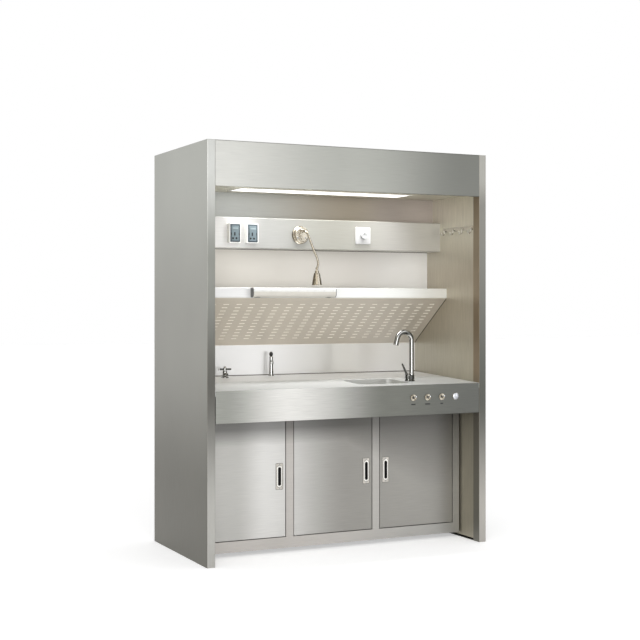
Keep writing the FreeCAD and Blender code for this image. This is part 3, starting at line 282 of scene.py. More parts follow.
def colour_ramp(tree, value, stops, blending="LINEAR"):
    ramp = add_node(tree, "ShaderNodeValToRGB")
    ramp.color_ramp.interpolation = blending
    elements = ramp.color_ramp.elements
    while len(elements) < len(stops):
        elements.new(0.5)
    for element, (position, colour) in zip(elements, stops):
        element.position = position
        element.color = srgb(*colour)
    tree.links.new(value, ramp.inputs["Fac"])
    return ramp.outputs["Color"]


def tone_ramp(tree, axis, stops):
    """A colour that follows the place along X, Y or Z, from one end of the bench to the other."""
    share = ranged(tree, place_along(tree, axis), 0, 1, *SPANS[axis])
    return colour_ramp(tree, share, stops, "EASE")


def mixed_tones(tree, factor, tone, other, blending="MIX"):
    mix = tree.nodes.new("ShaderNodeMix")
    mix.data_type = "RGBA"
    mix.blend_type = blending
    feed(tree, mix.inputs["Factor"], factor)
    tree.links.new(tone, mix.inputs["A"])
    tree.links.new(other, mix.inputs["B"])
    return mix.outputs["Result"]


def multiplied(tree, tone, factor):
    return mixed_tones(tree, 1.0, tone, factor, "MULTIPLY")


def even(colour):
    return ((0.0, colour), (1.0, colour))


print("Tone ramps reach:", {axis: round(high - low, 3) for axis, (low, high) in SPANS.items()})

# %% [markdown]
# ## Brushed steel
# Nearly everything is stainless sheet with a brushed finish. The grain is one noise pattern that
# is stretched along the brushing direction: it changes the colour a little, the roughness more,
# and it drives a shallow bump. A slow second noise keeps large panels from looking printed. A tone
# ramp along one axis paints the long soft shading and the reflections that the sheet shows over its
# length.
#
# A folded panel shows other painted shade and reflections on its narrow front edge and on its inner
# side than on its outer face. It is one piece with one finish, so the finish picks the ramp by the
# place on the piece. The doors and their frame also get a painted shadow just below the apron, which
# stands out over them.

# %% Steel material
GRAIN_STRETCH = {"X": (1.2, 60, 60), "Z": (60, 60, 1.2)}
GRAIN_SCALE = 9.0
PANEL_SCALE = 2.2
FACE_NEAR = 0.3 * MM
FACE_FAR = 0.9 * MM
APRON_SHADE_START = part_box("apron_panel")[0].z - 50 * MM


def on_front_edge(tree):
    """1 on faces that lie in the plane of the open front, 0 behind it."""
    return ranged(tree, place_along(tree, "Y"), 1, 0, front_face + FACE_NEAR, front_face + FACE_FAR)


def off_outer_face(tree):
    """0 on the outer side faces and the rear edge of the bench, 1 inside them."""
    across = calculated(tree, "ABSOLUTE", place_along(tree, "X"))
    inside = ranged(tree, across, 1, 0, HALF_WIDTH - FACE_FAR, HALF_WIDTH - FACE_NEAR)
    before = ranged(tree, place_along(tree, "Y"), 1, 0, cad_high.y - 40 * MM, cad_high.y - 30 * MM)
    return calculated(tree, "MULTIPLY", inside, before)


def painted_apron_shade(tree):
    """Painted shadow below the apron: 0.4 just below it and 1 further down, sooner on the left than
    on the right.
    """
    depth = calculated(tree, "SUBTRACT", APRON_SHADE_START, place_along(tree, "Z"))
    reach = ranged(tree, place_along(tree, "X"), 0.08, 0.34, 0.05, 0.5)
    return ranged(tree, calculated(tree, "DIVIDE", depth, reach), 0.40, 1.0, 0.0, 1.0)


def brushed_steel(name, axis, stops, grain="X", roughness=0.36, metallic=0.7, streak=0.07,
                  painted_edge_stops=(), painted_inner_stops=(), relief=0.08, shaded=False):
    material, tree, shader = new_material(name)
    shader.inputs["Metallic"].default_value = metallic
    grain_noise = noise(tree, object_place(tree, GRAIN_STRETCH[grain]), GRAIN_SCALE, 4.0)
    broad_noise = noise(tree, object_place(tree), PANEL_SCALE)
    # The tone ramps carry painted shade and painted reflections along the piece.
    tone = tone_ramp(tree, axis, stops)
    for share, other_stops in ((off_outer_face, painted_inner_stops), (on_front_edge, painted_edge_stops)):
        if other_stops:
            tone = mixed_tones(tree, share(tree), tone, tone_ramp(tree, "Z", other_stops))
    tone = multiplied(tree, tone, ranged(tree, grain_noise, 1 - streak, 1 + streak, 0.25, 0.75))
    tone = multiplied(tree, tone, around_middle(tree, broad_noise, 0.96, 1.04))
    # Painted shadow below the apron.
    if shaded:
        tone = multiplied(tree, tone, painted_apron_shade(tree))
    tree.links.new(tone, shader.inputs["Base Color"])
    tree.links.new(around_middle(tree, grain_noise, 0.85 * roughness, 1.2 * roughness),
                   shader.inputs["Roughness"])
    bumped(tree, shader, grain_noise, relief, 0.3 * MM)
    return material


print("The apron's shade starts", round(APRON_SHADE_START, 3), "m above the floor")

# %% [markdown]
# Each panel has its own painted tones, because each faces another way and shows another part of the
# room: the stops are painted shade and painted reflections. The numbers are shares of the bench's
# width, depth or height, with the tone at that place.

# %% Steel finishes
# Every ramp below is painted shade and painted reflection, one set of stops for each panel.
left_shell = brushed_steel(
    "left_shell_steel", "Z",
    ((0.166, (98, 96, 87)), (0.526, (149, 148, 141)), (0.959, (176, 177, 170))),
    grain="Z",
    painted_edge_stops=((0.101, (170, 169, 164)), (0.43, (92, 91, 86)), (0.704, (137, 138, 132)),
                (0.955, (198, 199, 195))))
right_shell = brushed_steel(
    "right_shell_steel", "Z",
    ((0, (120, 119, 113)), (1, (176, 176, 170))),
    grain="Z",
    painted_edge_stops=((0.071, (168, 165, 159)), (0.375, (84, 85, 80)), (0.86, (123, 122, 116)),
                (0.945, (153, 152, 146))),
    painted_inner_stops=((0, (120, 118, 110)), (0.36, (124, 119, 108)), (0.44, (128, 113, 92)),
                 (1, (140, 128, 108))))
plain_shell = brushed_steel(
    "plain_shell_steel", "Z", even((168, 168, 163)))
fascia_steel = brushed_steel(
    "fascia_steel", "X",
    ((0.048, (202, 202, 197)), (0.468, (167, 168, 162)), (0.925, (110, 111, 106))))
apron_steel = brushed_steel(
    "apron_steel", "X",
    ((0.051, (144, 145, 139)), (0.265, (215, 214, 210)), (0.628, (110, 111, 105)),
     (0.941, (93, 94, 90))),
    streak=0.13)
warm_lining = brushed_steel(
    "warm_lining_steel", "Z",
    ((0.5, (169, 163, 146)), (0.56, (177, 170, 154)), (0.686, (165, 156, 139)),
     (0.866, (214, 210, 194))),
    grain="Z", roughness=0.42, streak=0.19)
upper_wall_steel = brushed_steel(
    "upper_wall_steel", "X",
    ((0.182, (173, 175, 173)), (0.643, (142, 134, 121)), (0.939, (181, 172, 170))),
    roughness=0.42)
bright_steel = brushed_steel(
    "bright_steel", "X",
    ((0.147, (218, 217, 215)), (0.308, (170, 170, 167)), (0.556, (156, 155, 147)),
     (0.868, (189, 187, 182))),
    roughness=0.4, metallic=0.5)
wall_steel = brushed_steel(
    "lower_wall_steel", "X",
    ((0.198, (213, 209, 201)), (0.663, (204, 200, 194)), (0.949, (250, 250, 250))),
    roughness=0.45, metallic=0.4, streak=0.02)
shelf_steel = brushed_steel(
    "shelf_steel", "X",
    ((0.148, (229, 229, 229)), (0.923, (234, 235, 231))),
    roughness=0.4, metallic=0.4, streak=0.04)
intake_steel = brushed_steel(
    "intake_steel", "X",
    ((0.176, (224, 216, 203)), (0.881, (226, 219, 208))),
    roughness=0.42, metallic=0.6)
# The back of the worktop is painted lighter: painted light that fills the shadow of the intake slope.
worktop_steel = brushed_steel(
    "worktop_steel", "Y",
    ((0, (196, 198, 197)), (0.42, (204, 206, 205)), (0.58, (248, 249, 249)),
     (1, (250, 250, 250))),
    roughness=0.45, metallic=0.15, streak=0.04)
backsplash_steel = brushed_steel(
    "backsplash_steel", "X",
    ((0.318, (241, 241, 241)), (0.688, (196, 194, 188)), (0.867, (239, 240, 243))),
    roughness=0.2, metallic=0.35, streak=0.01, relief=0.01)
door_steel = brushed_steel(
    "door_steel", "X",
    ((0.141, (179, 178, 174)), (0.244, (209, 208, 205)), (0.545, (146, 144, 139)),
     (0.88, (151, 149, 144))),
    roughness=0.38, metallic=0.65, streak=0.08, shaded=True)
frame_steel = brushed_steel(
    "door_frame_steel", "X",
    ((0.328, (185, 181, 176)), (0.953, (164, 163, 159))),
    roughness=0.4, metallic=0.6, shaded=True)
sink_steel = brushed_steel(
    "sink_steel", "X", even((196, 196, 192)),
    roughness=0.4, metallic=0.6)
hidden_steel = brushed_steel(
    "mill_finish_steel", "X", even((150, 150, 148)),
    roughness=0.5, metallic=0.8)
print("Steel finishes:", len([m for m in bpy.data.materials if m.name.endswith("steel")]))

# %% [markdown]
# ## Other finishes
# Plated fittings get a cleaner metal with faint polishing marks. Polished metal shows the light and
# dark parts of a room as bands that run along a tube. A white studio has no dark parts, so these
# bands are painted reflections in the plating's own tone, set by the way that the surface faces on
# the object. Plastics keep a fine orange-peel bump and a little unevenness in their gloss, which is
# what makes moulded plastic look moulded.

# %% Plated metal and plastics
BAND_DIRECTION = Vector((0.8, -0.4, -0.45))
POLISH_SCALE = 140.0
PEEL_SCALE = 900.0
PATCH_SCALE = 30.0
WARM_WHITE = srgb(255, 252, 246)


def painted_reflection_bands(tree, stops):
    """Painted reflections: a tone that follows which way a surface faces, from left-behind (0) to
    right-front (1).
    """
    facing = add_node(tree, "ShaderNodeVectorMath")
    facing.operation = "DOT_PRODUCT"
    facing.inputs[1].default_value = BAND_DIRECTION
    coordinates = add_node(tree, "ShaderNodeTexCoord")
    tree.links.new(coordinates.outputs["Normal"], facing.inputs[0])
    return colour_ramp(tree, ranged(tree, facing.outputs["Value"], 0, 1, -1, 1), stops)


def plated_metal(name, stops, roughness):
    material, tree, shader = new_material(name)
    shader.inputs["Metallic"].default_value = 1.0
    marks = noise(tree, object_place(tree), POLISH_SCALE, 3.0)
    tone = multiplied(tree, painted_reflection_bands(tree, stops), around_middle(tree, marks, 0.94, 1.03))
    tree.links.new(tone, shader.inputs["Base Color"])
    tree.links.new(around_middle(tree, marks, roughness * 0.7, roughness * 1.4),
                   shader.inputs["Roughness"])
    bumped(tree, shader, marks, 0.02, 0.2 * MM)
    return material


def moulded_plastic(name, colour, roughness, glow=0.0):
    material, tree, shader = new_material(name)
    peel = noise(tree, object_place(tree), PEEL_SCALE)
    patch = noise(tree, object_place(tree), PATCH_SCALE)
    tone = tone_ramp(tree, "Z", even(colour))
    tone = multiplied(tree, tone, around_middle(tree, patch, 0.97, 1.02))
    tree.links.new(tone, shader.inputs["Base Color"])
    tree.links.new(around_middle(tree, patch, roughness - 0.05, roughness + 0.08),
                   shader.inputs["Roughness"])
    bumped(tree, shader, peel, 0.05, 0.1 * MM)
    if glow:
        shader.inputs["Emission Color"].default_value = WARM_WHITE
        shader.inputs["Emission Strength"].default_value = glow
    return material


chrome = plated_metal(
    "polished_chrome",
    ((0.0, (30, 30, 28)), (0.09, (84, 84, 80)), (0.18, (226, 226, 224)), (0.27, (130, 130, 126)),
     (0.37, (52, 52, 50)), (0.46, (140, 140, 136)), (0.56, (236, 236, 234)),
     (0.64, (128, 128, 124)), (0.73, (42, 42, 40)), (0.85, (104, 104, 100)),
     (0.93, (196, 196, 192)), (1.0, (40, 40, 38))),
    roughness=0.1)
# A darker copy of the chrome, whose bands paint the dark reflections on the mixer's body and lever.
shaded_chrome = plated_metal(
    "shaded_chrome",
    ((0.0, (20, 20, 19)), (0.2, (74, 74, 70)), (0.3, (190, 190, 186)), (0.38, (66, 66, 62)),
     (0.5, (30, 30, 28)), (0.62, (116, 116, 112)), (0.72, (38, 38, 36)), (0.85, (92, 92, 88)),
     (1.0, (20, 20, 19))),
    roughness=0.14)
satin_chrome = plated_metal(
    "satin_chrome",
    ((0.0, (120, 122, 126)), (0.3, (206, 208, 212)), (0.62, (208, 210, 215)),
     (0.78, (170, 172, 178)), (1.0, (110, 112, 116))),
    roughness=0.26)
hook_metal = plated_metal(
    "hook_metal",
    ((0.0, (160, 155, 142)), (0.13, (182, 177, 164)), (0.22, (236, 234, 228)),
     (0.34, (84, 80, 72)), (0.46, (200, 196, 186)), (0.56, (58, 54, 48)), (0.7, (236, 234, 228)),
     (0.82, (90, 86, 78)), (1.0, (40, 37, 32))),
    roughness=0.16)
nickel = plated_metal(
    "satin_nickel",
    ((0.0, (66, 59, 47)), (0.1, (104, 95, 80)), (0.26, (180, 172, 155)), (0.46, (126, 117, 100)),
     (0.68, (216, 209, 194)), (0.8, (104, 95, 80)), (1.0, (66, 59, 47))),
    roughness=0.26)
# A darker copy of the pull metal, painted so that the plate reads darker than its bright ring.
pull_plate_metal = plated_metal(
    "pull_plate_metal",
    ((0.0, (110, 108, 102)), (0.3, (236, 234, 228)), (0.5, (176, 172, 164)),
     (0.7, (190, 186, 178)), (1.0, (110, 108, 102))),
    roughness=0.3)
pull_metal = plated_metal(
    "pull_metal",
    ((0.0, (150, 147, 140)), (0.3, (250, 249, 246)), (0.5, (214, 211, 204)),
     (0.7, (228, 226, 220)), (1.0, (140, 137, 130))),
    roughness=0.22)
zinc = plated_metal(
    "zinc_plating", even((150, 152, 154)),
    roughness=0.4)
cast_aluminium = plated_metal(
    "cast_aluminium", even((176, 178, 180)),
    roughness=0.45)
white_plastic = moulded_plastic("white_plastic", (238, 238, 236), roughness=0.3)
opal_plastic = moulded_plastic("opal_plastic", (246, 246, 243), roughness=0.4, glow=1.6)
lens_plastic = moulded_plastic("lamp_lens_plastic", (240, 238, 232), roughness=0.3)
# The diffuser's beige grey is its opal tone with painted shade for its downward face.
pale_diffuser = moulded_plastic("pale_diffuser", (216, 212, 203), roughness=0.35)
socket_plastic = moulded_plastic("socket_grey", (66, 77, 84), roughness=0.45)
socket_panel_plastic = moulded_plastic("socket_panel_grey", (112, 127, 133), roughness=0.45)
socket_light_plastic = moulded_plastic("socket_light_grey", (142, 156, 160), roughness=0.45)
# Darker copies of the white plastic: painted shade on the dimmer's plate and knob.
dimmer_plastic = moulded_plastic("dimmer_white", (198, 198, 198), roughness=0.4)
dimmer_grip_plastic = moulded_plastic("dimmer_grey", (184, 185, 186), roughness=0.35)
black_plastic = moulded_plastic("black_plastic", (14, 14, 15), roughness=0.35)
grey_plastic = moulded_plastic("grey_plastic", (70, 70, 68), roughness=0.4)
dark_plastic = moulded_plastic("dark_plastic", (58, 58, 58), roughness=0.5)
pipe_plastic = moulded_plastic("waste_pipe_plastic", (205, 205, 202), roughness=0.4)
motor_paint = moulded_plastic("motor_paint", (52, 54, 56), roughness=0.5)
print("Plated metals and plastics:", len(bpy.data.materials))

# %% [markdown]
# ## Finishes on the CAD nodes
# The sheet pieces and most fittings already have their final shape, so they keep it and only get
# their finish.

# %% Dress the CAD nodes
# The shelf lamp end caps' dark grey is partly painted shade on the lamp's left end.
finishes = {
    left_shell: ["left_side_panel"],
    right_shell: ["right_side_panel"],
    plain_shell: ["rear_panel", "roof_panel", "exhaust_collar"],
    fascia_steel: ["fascia_panel"],
    apron_steel: ["apron_panel"],
    warm_lining: ["left_inner_liner", "right_inner_liner", "ceiling_panel"],
    upper_wall_steel: ["upper_rear_wall"],
    bright_steel: ["service_box"],
    wall_steel: ["lower_rear_wall"],
    shelf_steel: ["shelf"],
    intake_steel: ["intake_panel"],
    worktop_steel: ["worktop"],
    sink_steel: ["sink_bowl"],
    backsplash_steel: ["backsplash"],
    door_steel: ["left_door", "middle_door", "right_door"],
    frame_steel: ["cabinet_face_frame"],
    hidden_steel: ["cabinet_carcass", "fan_housing"],
    white_plastic: ["ceiling_light_frame", "socket_boxes", "dimmer_plate", "dimmer_knob",
                    "shelf_lamp_body"],
    opal_plastic: ["ceiling_light_diffuser"],
    lens_plastic: ["lamp_lens"],
    pale_diffuser: ["shelf_lamp_diffuser"],
    grey_plastic: ["shelf_lamp_end_caps"],
    black_plastic: ["tap_knob"],
    socket_plastic: ["socket_inserts"],
    nickel: ["lamp_base", "lamp_arm", "lamp_head", "control_bezels"],
    chrome: ["faucet_spout", "tap_body", "valve_body", "valve_handle", "sink_strainer"],
    shaded_chrome: ["faucet_body", "faucet_lever"],
    satin_chrome: ["push_button", "switch_lever_1", "switch_lever_2", "switch_lever_3"],
    hook_metal: ["hook_rail"],
    pull_metal: ["left_door_pull", "middle_door_pull", "right_door_pull"],
    zinc: ["levelling_feet", "panel_screws"],
    pipe_plastic: ["drain_trap"],
    dark_plastic: ["hinge_bushes"],
    motor_paint: ["fan_motor"],
    cast_aluminium: ["fan_impeller"],
}
for finish, names in finishes.items():
    for name in names:
        NODES[name].material_slots[0].material = finish
undressed = set(NODES) - {name for names in finishes.values() for name in names}
print("CAD nodes dressed:", len(NODES) - len(undressed), "left:", sorted(undressed))

# %% [markdown]
# ## Tools for the detailed pieces
# New pieces are made with bmesh. Two helpers cover most of them: a lathe, which spins a half
# outline around an axis, and a plate with rounded corners. Each piece gets its normals checked,
# smooth shading with sharp edges kept, a finish, and the body that it moves with.

# %% Piece helpers
FACING_FRONT = Matrix.Rotation(math.radians(90), 4, "X")
UNTURNED = Matrix.Identity(4)
FULL_TURN = math.radians(360)
MERGE_DISTANCE = 1e-6
CORNER_STEPS = 8
RIM_STEPS = 3


def placed(x, y, z, turn=UNTURNED):
    return Matrix.Translation((x, y, z)) @ turn


def finish_piece(mesh, name, material, body, replaced=(), sharp=35):
    """Turns a bmesh into an object at the origin that rides on a body."""
    bmesh.ops.remove_doubles(mesh, verts=mesh.verts, dist=MERGE_DISTANCE)
    bmesh.ops.recalc_face_normals(mesh, faces=mesh.faces)
    data = bpy.data.meshes.new(name)
    mesh.to_mesh(data)
    mesh.free()
    data.polygons.foreach_set("use_smooth", [True] * len(data.polygons))
    data.set_sharp_from_angle(angle=math.radians(sharp))
    data.materials.append(material)
    piece = bpy.data.objects.new(name, data)
    bpy.context.scene.collection.objects.link(piece)
    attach(piece, body)
    if replaced:
        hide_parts(*replaced)
    return piece


def append(mesh, part, place):
    """Moves a finished part to its place, adds it to a mesh and frees the part."""
    bmesh.ops.transform(part, matrix=place, verts=part.verts)
    scratch = bpy.data.meshes.new("scratch")
    part.to_mesh(scratch)
    part.free()
    mesh.from_mesh(scratch)
    bpy.data.meshes.remove(scratch)


def lathe(mesh, outline, place, steps=48):
    """Spins a half outline of (radius, height) pairs around the local Z axis. Sizes are in mm."""
    part = bmesh.new()
    verts = [part.verts.new((radius * MM, 0, height * MM)) for radius, height in outline]
    edges = [part.edges.new(pair) for pair in zip(verts, verts[1:] + verts[:1])]
    bmesh.ops.spin(part, geom=verts + edges, axis=(0, 0, 1), cent=(0, 0, 0), steps=steps,
                   angle=FULL_TURN, use_merge=True)
    bmesh.ops.remove_doubles(part, verts=part.verts, dist=MERGE_DISTANCE)
    axis_lines = [edge for edge in part.edges if not edge.link_faces]
    bmesh.ops.delete(part, geom=axis_lines, context="EDGES")
    append(mesh, part, place)


def rounded_plate(mesh, width, height, thickness, corner, place, rim=0.0):
    """A plate from zero up in local Z, centred in X and Y, with round corners. Sizes are in mm."""
    part = bmesh.new()
    bmesh.ops.create_cube(part, size=1.0)
    bmesh.ops.scale(part, vec=(width * MM, height * MM, thickness * MM), verts=part.verts)
    bmesh.ops.translate(part, vec=(0, 0, thickness * MM / 2), verts=part.verts)
    uprights = [edge for edge in part.edges
                if abs(edge.verts[0].co.z - edge.verts[1].co.z) > thickness * MM / 2]
    bmesh.ops.bevel(part, geom=uprights, offset=corner * MM, segments=CORNER_STEPS, profile=0.5,
                    affect="EDGES", material=-1)
    if rim:
        top = [edge for edge in part.edges
               if all(vert.co.z > thickness * MM - 1e-7 for vert in edge.verts)]
        bmesh.ops.bevel(part, geom=top, offset=rim * MM, segments=RIM_STEPS, profile=0.5,
                        affect="EDGES", material=-1)
    append(mesh, part, place)


def joint_place(name):
    return Vector(next(joint["pos_m"] for joint in frame["joints"] if joint["name"] == name))


# %% [markdown]
# ## Gooseneck lamp
# The neck of such a lamp is a wound steel hose, so its surface is a row of fine ribs. A smooth
# tube with a bump map would have a clean outline, so the ribs are modelled: circles are set along
# a curve, every second one a little smaller, and bridged. Two turned ferrules end the hose.

# %% Gooseneck
RIB_PITCH = 1.7
RIB_RADIUS = 5.5
RIB_DEPTH = 0.3
RIB_SIDES = 20
BALL_RADIUS = 7.0
WALL_FERRULE = [(0, 0.3), (10, 0.3), (10, 5.5), (8.5, 7.5), (6.4, 8.6), (6.4, 13), (5.6, 13.6),
                (0, 13.6)]
BALL_FERRULE = [(0, 18), (5.6, 18), (6.2, 16.5), (6.2, 9), (5.2, 6.6), (0, 6.6)]
# shares of the way across and down from the root to the ball, with mm behind the shade between them
NECK_BENDS = [(0, 22, 0.02), (0.15, 8, 0.02), (0.42, 3, 0.27), (0.74, 0, 0.51), (1.12, 0, 0.72),
              (1.14, 0, 0.87)]

lamp_root = joint_place("lamp_arm_swing")
lamp_ball = joint_place("lamp_head_tilt")
reach = lamp_ball.x - lamp_root.x
drop = lamp_root.z - lamp_ball.z
head_y = lamp_ball.y
neck_course = [lamp_root + Vector((0, -6 * MM, 0))]
for across, behind, down in NECK_BENDS:
    neck_course.append(Vector((lamp_root.x + across * reach, head_y + behind * MM,
                               lamp_root.z - down * drop)))
neck_course += [Vector((lamp_ball.x, head_y, lamp_ball.z + 14 * MM)), lamp_ball]


def smooth_course(points):
    """Reads evenly dense points from a NURBS curve that follows a course."""
    data = bpy.data.curves.new("course", "CURVE")
    data.dimensions = "3D"
    spline = data.splines.new("NURBS")
    spline.points.add(len(points) - 1)
    for target, point in zip(spline.points, points):
        target.co = (*point, 1)
    spline.order_u = 4
    spline.use_endpoint_u = True
    spline.resolution_u = 40
    course = bpy.data.objects.new("course", data)
    line = bpy.data.meshes.new_from_object(course)
    places = [vert.co.copy() for vert in line.vertices]
    bpy.data.objects.remove(course)
    bpy.data.meshes.remove(line)
    return places


def stations(places, step):
    """Places and directions at even steps along a line of points."""
    result = [(places[0], (places[1] - places[0]).normalized())]
    travelled = 0.0
    for first, second in zip(places, places[1:]):
        run = (second - first).length
        while run and travelled + run >= step:
            share = (step - travelled) / run
            first = first.lerp(second, share)
            result.append((first, (second - first).normalized() if share < 1 else result[-1][1]))
            run = (second - first).length
            travelled = 0.0
        travelled += run
    return result


def ribbed_hose(mesh, places):
    """Bridges rings of two sizes along a line of points and says how many rings there are."""
    previous = None
    for index, (place, direction) in enumerate(stations(places, RIB_PITCH * MM / 2)):
        turn = direction.to_track_quat("Z", "Y").to_matrix().to_4x4()
        size = (RIB_RADIUS - RIB_DEPTH * (index % 2)) * MM
        ring = bmesh.ops.create_circle(mesh, segments=RIB_SIDES, radius=size, cap_ends=False,
                                       matrix=placed(*place, turn))["verts"]
        edges = list({edge for vert in ring for edge in vert.link_edges})
        if previous:
            bmesh.ops.bridge_loops(mesh, edges=previous + edges)
        previous = edges
    return index + 1


hose = bmesh.new()
hose_rings = ribbed_hose(hose, smooth_course(neck_course))
lathe(hose, WALL_FERRULE, placed(*lamp_root, FACING_FRONT))
lathe(hose, BALL_FERRULE, placed(*lamp_ball))
bmesh.ops.create_uvsphere(hose, u_segments=32, v_segments=20, radius=BALL_RADIUS * MM,
                          matrix=placed(*lamp_ball))
finish_piece(hose, "gooseneck", nickel, "lamp_arm", ["lamp_arm"], sharp=50)
print("Gooseneck rings:", hose_rings)

# %% [markdown]
# The shade is spun metal: a short neck that grips the ball, a ring, and a cone that opens to a
# rolled rim. A lathe outline that goes down the outside and back up the inside makes its wall.

# %% Lamp shade
SHADE_OUTSIDE = [(7.4, 2.2), (9.6, 2.2), (10.3, 1.2), (10.3, -4.2), (9.4, -5.0), (9.4, -8.6),
                 (11.0, -9.2), (14.0, -10.2), (15.0, -12.4), (15.6, -15.0), (17.6, -24.0),
                 (20.0, -38.0), (22.4, -52.0), (24.2, -64.0), (24.8, -67.4)]
SHADE_RIM = [(25.4, -68.4), (25.4, -69.6), (24.8, -70.0), (23.9, -69.6)]
SHADE_INSIDE = [(23.6, -67.6), (22.8, -62.0), (20.8, -51.0), (18.4, -37.0), (16.2, -24.0),
                (14.0, -16.6), (12.0, -13.0), (8.4, -11.6), (7.4, -4.0)]
shade = bmesh.new()
lathe(shade, SHADE_OUTSIDE + SHADE_RIM + SHADE_INSIDE, placed(*lamp_ball))
finish_piece(shade, "lamp_shade", nickel, "lamp_head", ["lamp_head"], sharp=40)
print("Lamp shade:", 2 * max(radius for radius, height in SHADE_RIM), "mm across its rim")

# %% [markdown]
# Two slotted screws hold the wall plate of the lamp. A screw here is a low dome with a slot that
# is cut by pushing the middle faces down, so one helper can serve every small screw on the bench.

# %% Slotted screws
SCREW_STEPS = 24
PLATE_SCREW_CIRCLE = 26 * MM
PLATE_SCREW_TURNS = {215: 78.59, 325: 261.13}    # place round the plate: turn of the slot, in degrees


def slotted_screw(mesh, place, radius, height):
    """A low screw head with a straight slot, from zero up in local Z. Sizes are in mm."""
    half_slot = radius * 0.16
    slot_floor = height * 0.4
    screw = bmesh.new()
    lathe(screw, [(0, 0), (radius, 0), (radius, height * 0.45), (radius * 0.8, height * 0.85),
                  (radius * 0.4, height), (0, height)], UNTURNED, SCREW_STEPS)
    for side in (-half_slot, half_slot):
        bmesh.ops.bisect_plane(screw, geom=screw.verts[:] + screw.edges[:] + screw.faces[:],
                               plane_co=(side * MM, 0, 0), plane_no=(1, 0, 0))
    for vert in screw.verts:
        if abs(vert.co.x) < half_slot * MM * 0.999 and vert.co.z > slot_floor * MM:
            vert.co.z = slot_floor * MM
    append(mesh, screw, place)


plate_low, plate_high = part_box("lamp_base")
plate_centre = (plate_low + plate_high) / 2
plate_screws = bmesh.new()
for angle, slot_turn in PLATE_SCREW_TURNS.items():
    x = plate_centre.x + PLATE_SCREW_CIRCLE * math.cos(math.radians(angle))
    z = plate_centre.z + PLATE_SCREW_CIRCLE * math.sin(math.radians(angle))
    turn = FACING_FRONT @ Matrix.Rotation(math.radians(slot_turn), 4, "Z")
    slotted_screw(plate_screws, placed(x, plate_low.y, z, turn), 4.2, 1.6)
finish_piece(plate_screws, "lamp_plate_screws", zinc, CABINET)
print("Lamp plate screws:", len(PLATE_SCREW_TURNS))

# %% [markdown]
# ## Shelf lamp clips
# Two small spring clips hold the tube lamp under the shelf's front edge. Each is a bent strip, but
# only the short bar below the lamp is seen, so a small rounded plate stands for it.

# %% Lamp clips
CLIP_SHARES = (0.06, 0.92)
CLIP_WIDTH = 20
CLIP_THICKNESS = 1.0
tube_low, tube_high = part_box("shelf_lamp_diffuser")
clips = bmesh.new()
for share in CLIP_SHARES:
    x = tube_low.x + share * (tube_high.x - tube_low.x)
    rounded_plate(clips, CLIP_WIDTH, (tube_high.y - tube_low.y) / MM - 8, CLIP_THICKNESS, 1.0,
                  placed(x, (tube_low.y + tube_high.y) / 2 + 3 * MM, tube_low.z - 0.9 * MM), 0.3)
finish_piece(clips, "shelf_lamp_clips", grey_plastic, CABINET)
print("Shelf lamp clips:", len(CLIP_SHARES))
print("Shelf lamp clips:", 2)

# %% [markdown]
# ## Sockets
# Each socket insert carries a pressed frame line, a small light window at the top, an earth slot
# and two round holes. The openings are real recesses: cutters are subtracted with a Boolean
# modifier, which is applied, and black plates stand behind them, for the contacts and as painted
# shade deep in the holes.

# %% Socket inserts
INSERT_WIDTH = 51.7
INSERT_HEIGHT = 87.7
INSERT_DEPTH = 9.0
EARTH_SLOT = (7.5, 17.0)
SIDE_NOTCH = (5.0, 12.0)
NOTCH_REACH = 20.4 * MM
PIN_RADIUS = 5.2
PIN_REACH = 9 * MM
PIN_SHIFT = -3.0 * MM
SLOT_DROP = 5 * MM
PIN_DROP = 26 * MM
HOLE_DEPTH = 12

insert_low, insert_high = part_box("socket_inserts")
socket_pitch = (insert_high.x - insert_low.x) - INSERT_WIDTH * MM
socket_centres = [insert_low.x + INSERT_WIDTH * MM / 2 + index * socket_pitch for index in range(2)]
socket_z = (insert_low.z + insert_high.z) / 2
hole_floor = insert_high.y - 5.5 * MM


def boolean_cut(piece, cutter_mesh, name):
    bmesh.ops.recalc_face_normals(cutter_mesh, faces=cutter_mesh.faces)
    data = bpy.data.meshes.new(name)
    cutter_mesh.to_mesh(data)
    cutter_mesh.free()
    cutter = bpy.data.objects.new(name, data)
    bpy.context.scene.collection.objects.link(cutter)
    modifier = piece.modifiers.new("cut", "BOOLEAN")
    modifier.object = cutter
    modifier.solver = "EXACT"
    with bpy.context.temp_override(object=piece, active_object=piece):
        bpy.ops.object.modifier_apply(modifier="cut")
    bpy.data.objects.remove(cutter)
    piece.data.set_sharp_from_angle(angle=math.radians(35))


def socket_holes():
    """The earth slot, the two round holes and the side notches of both sockets, as solids."""
    holes = bmesh.new()
    for x in socket_centres:
        rounded_plate(holes, *EARTH_SLOT, HOLE_DEPTH, 1.0,
                      placed(x + PIN_SHIFT, hole_floor, socket_z - SLOT_DROP, FACING_FRONT))
        for side in (-1, 1):
            lathe(holes, [(0, 0), (PIN_RADIUS, 0), (PIN_RADIUS, HOLE_DEPTH), (0, HOLE_DEPTH)],
                  placed(x + PIN_SHIFT + side * PIN_REACH, hole_floor, socket_z - PIN_DROP,
                         FACING_FRONT), 24)
            rounded_plate(holes, *SIDE_NOTCH, HOLE_DEPTH, 1.0,
                          placed(x + side * NOTCH_REACH, hole_floor, socket_z - SLOT_DROP,
                                 FACING_FRONT))
    return holes


inserts = bmesh.new()
panels = bmesh.new()
windows = bmesh.new()
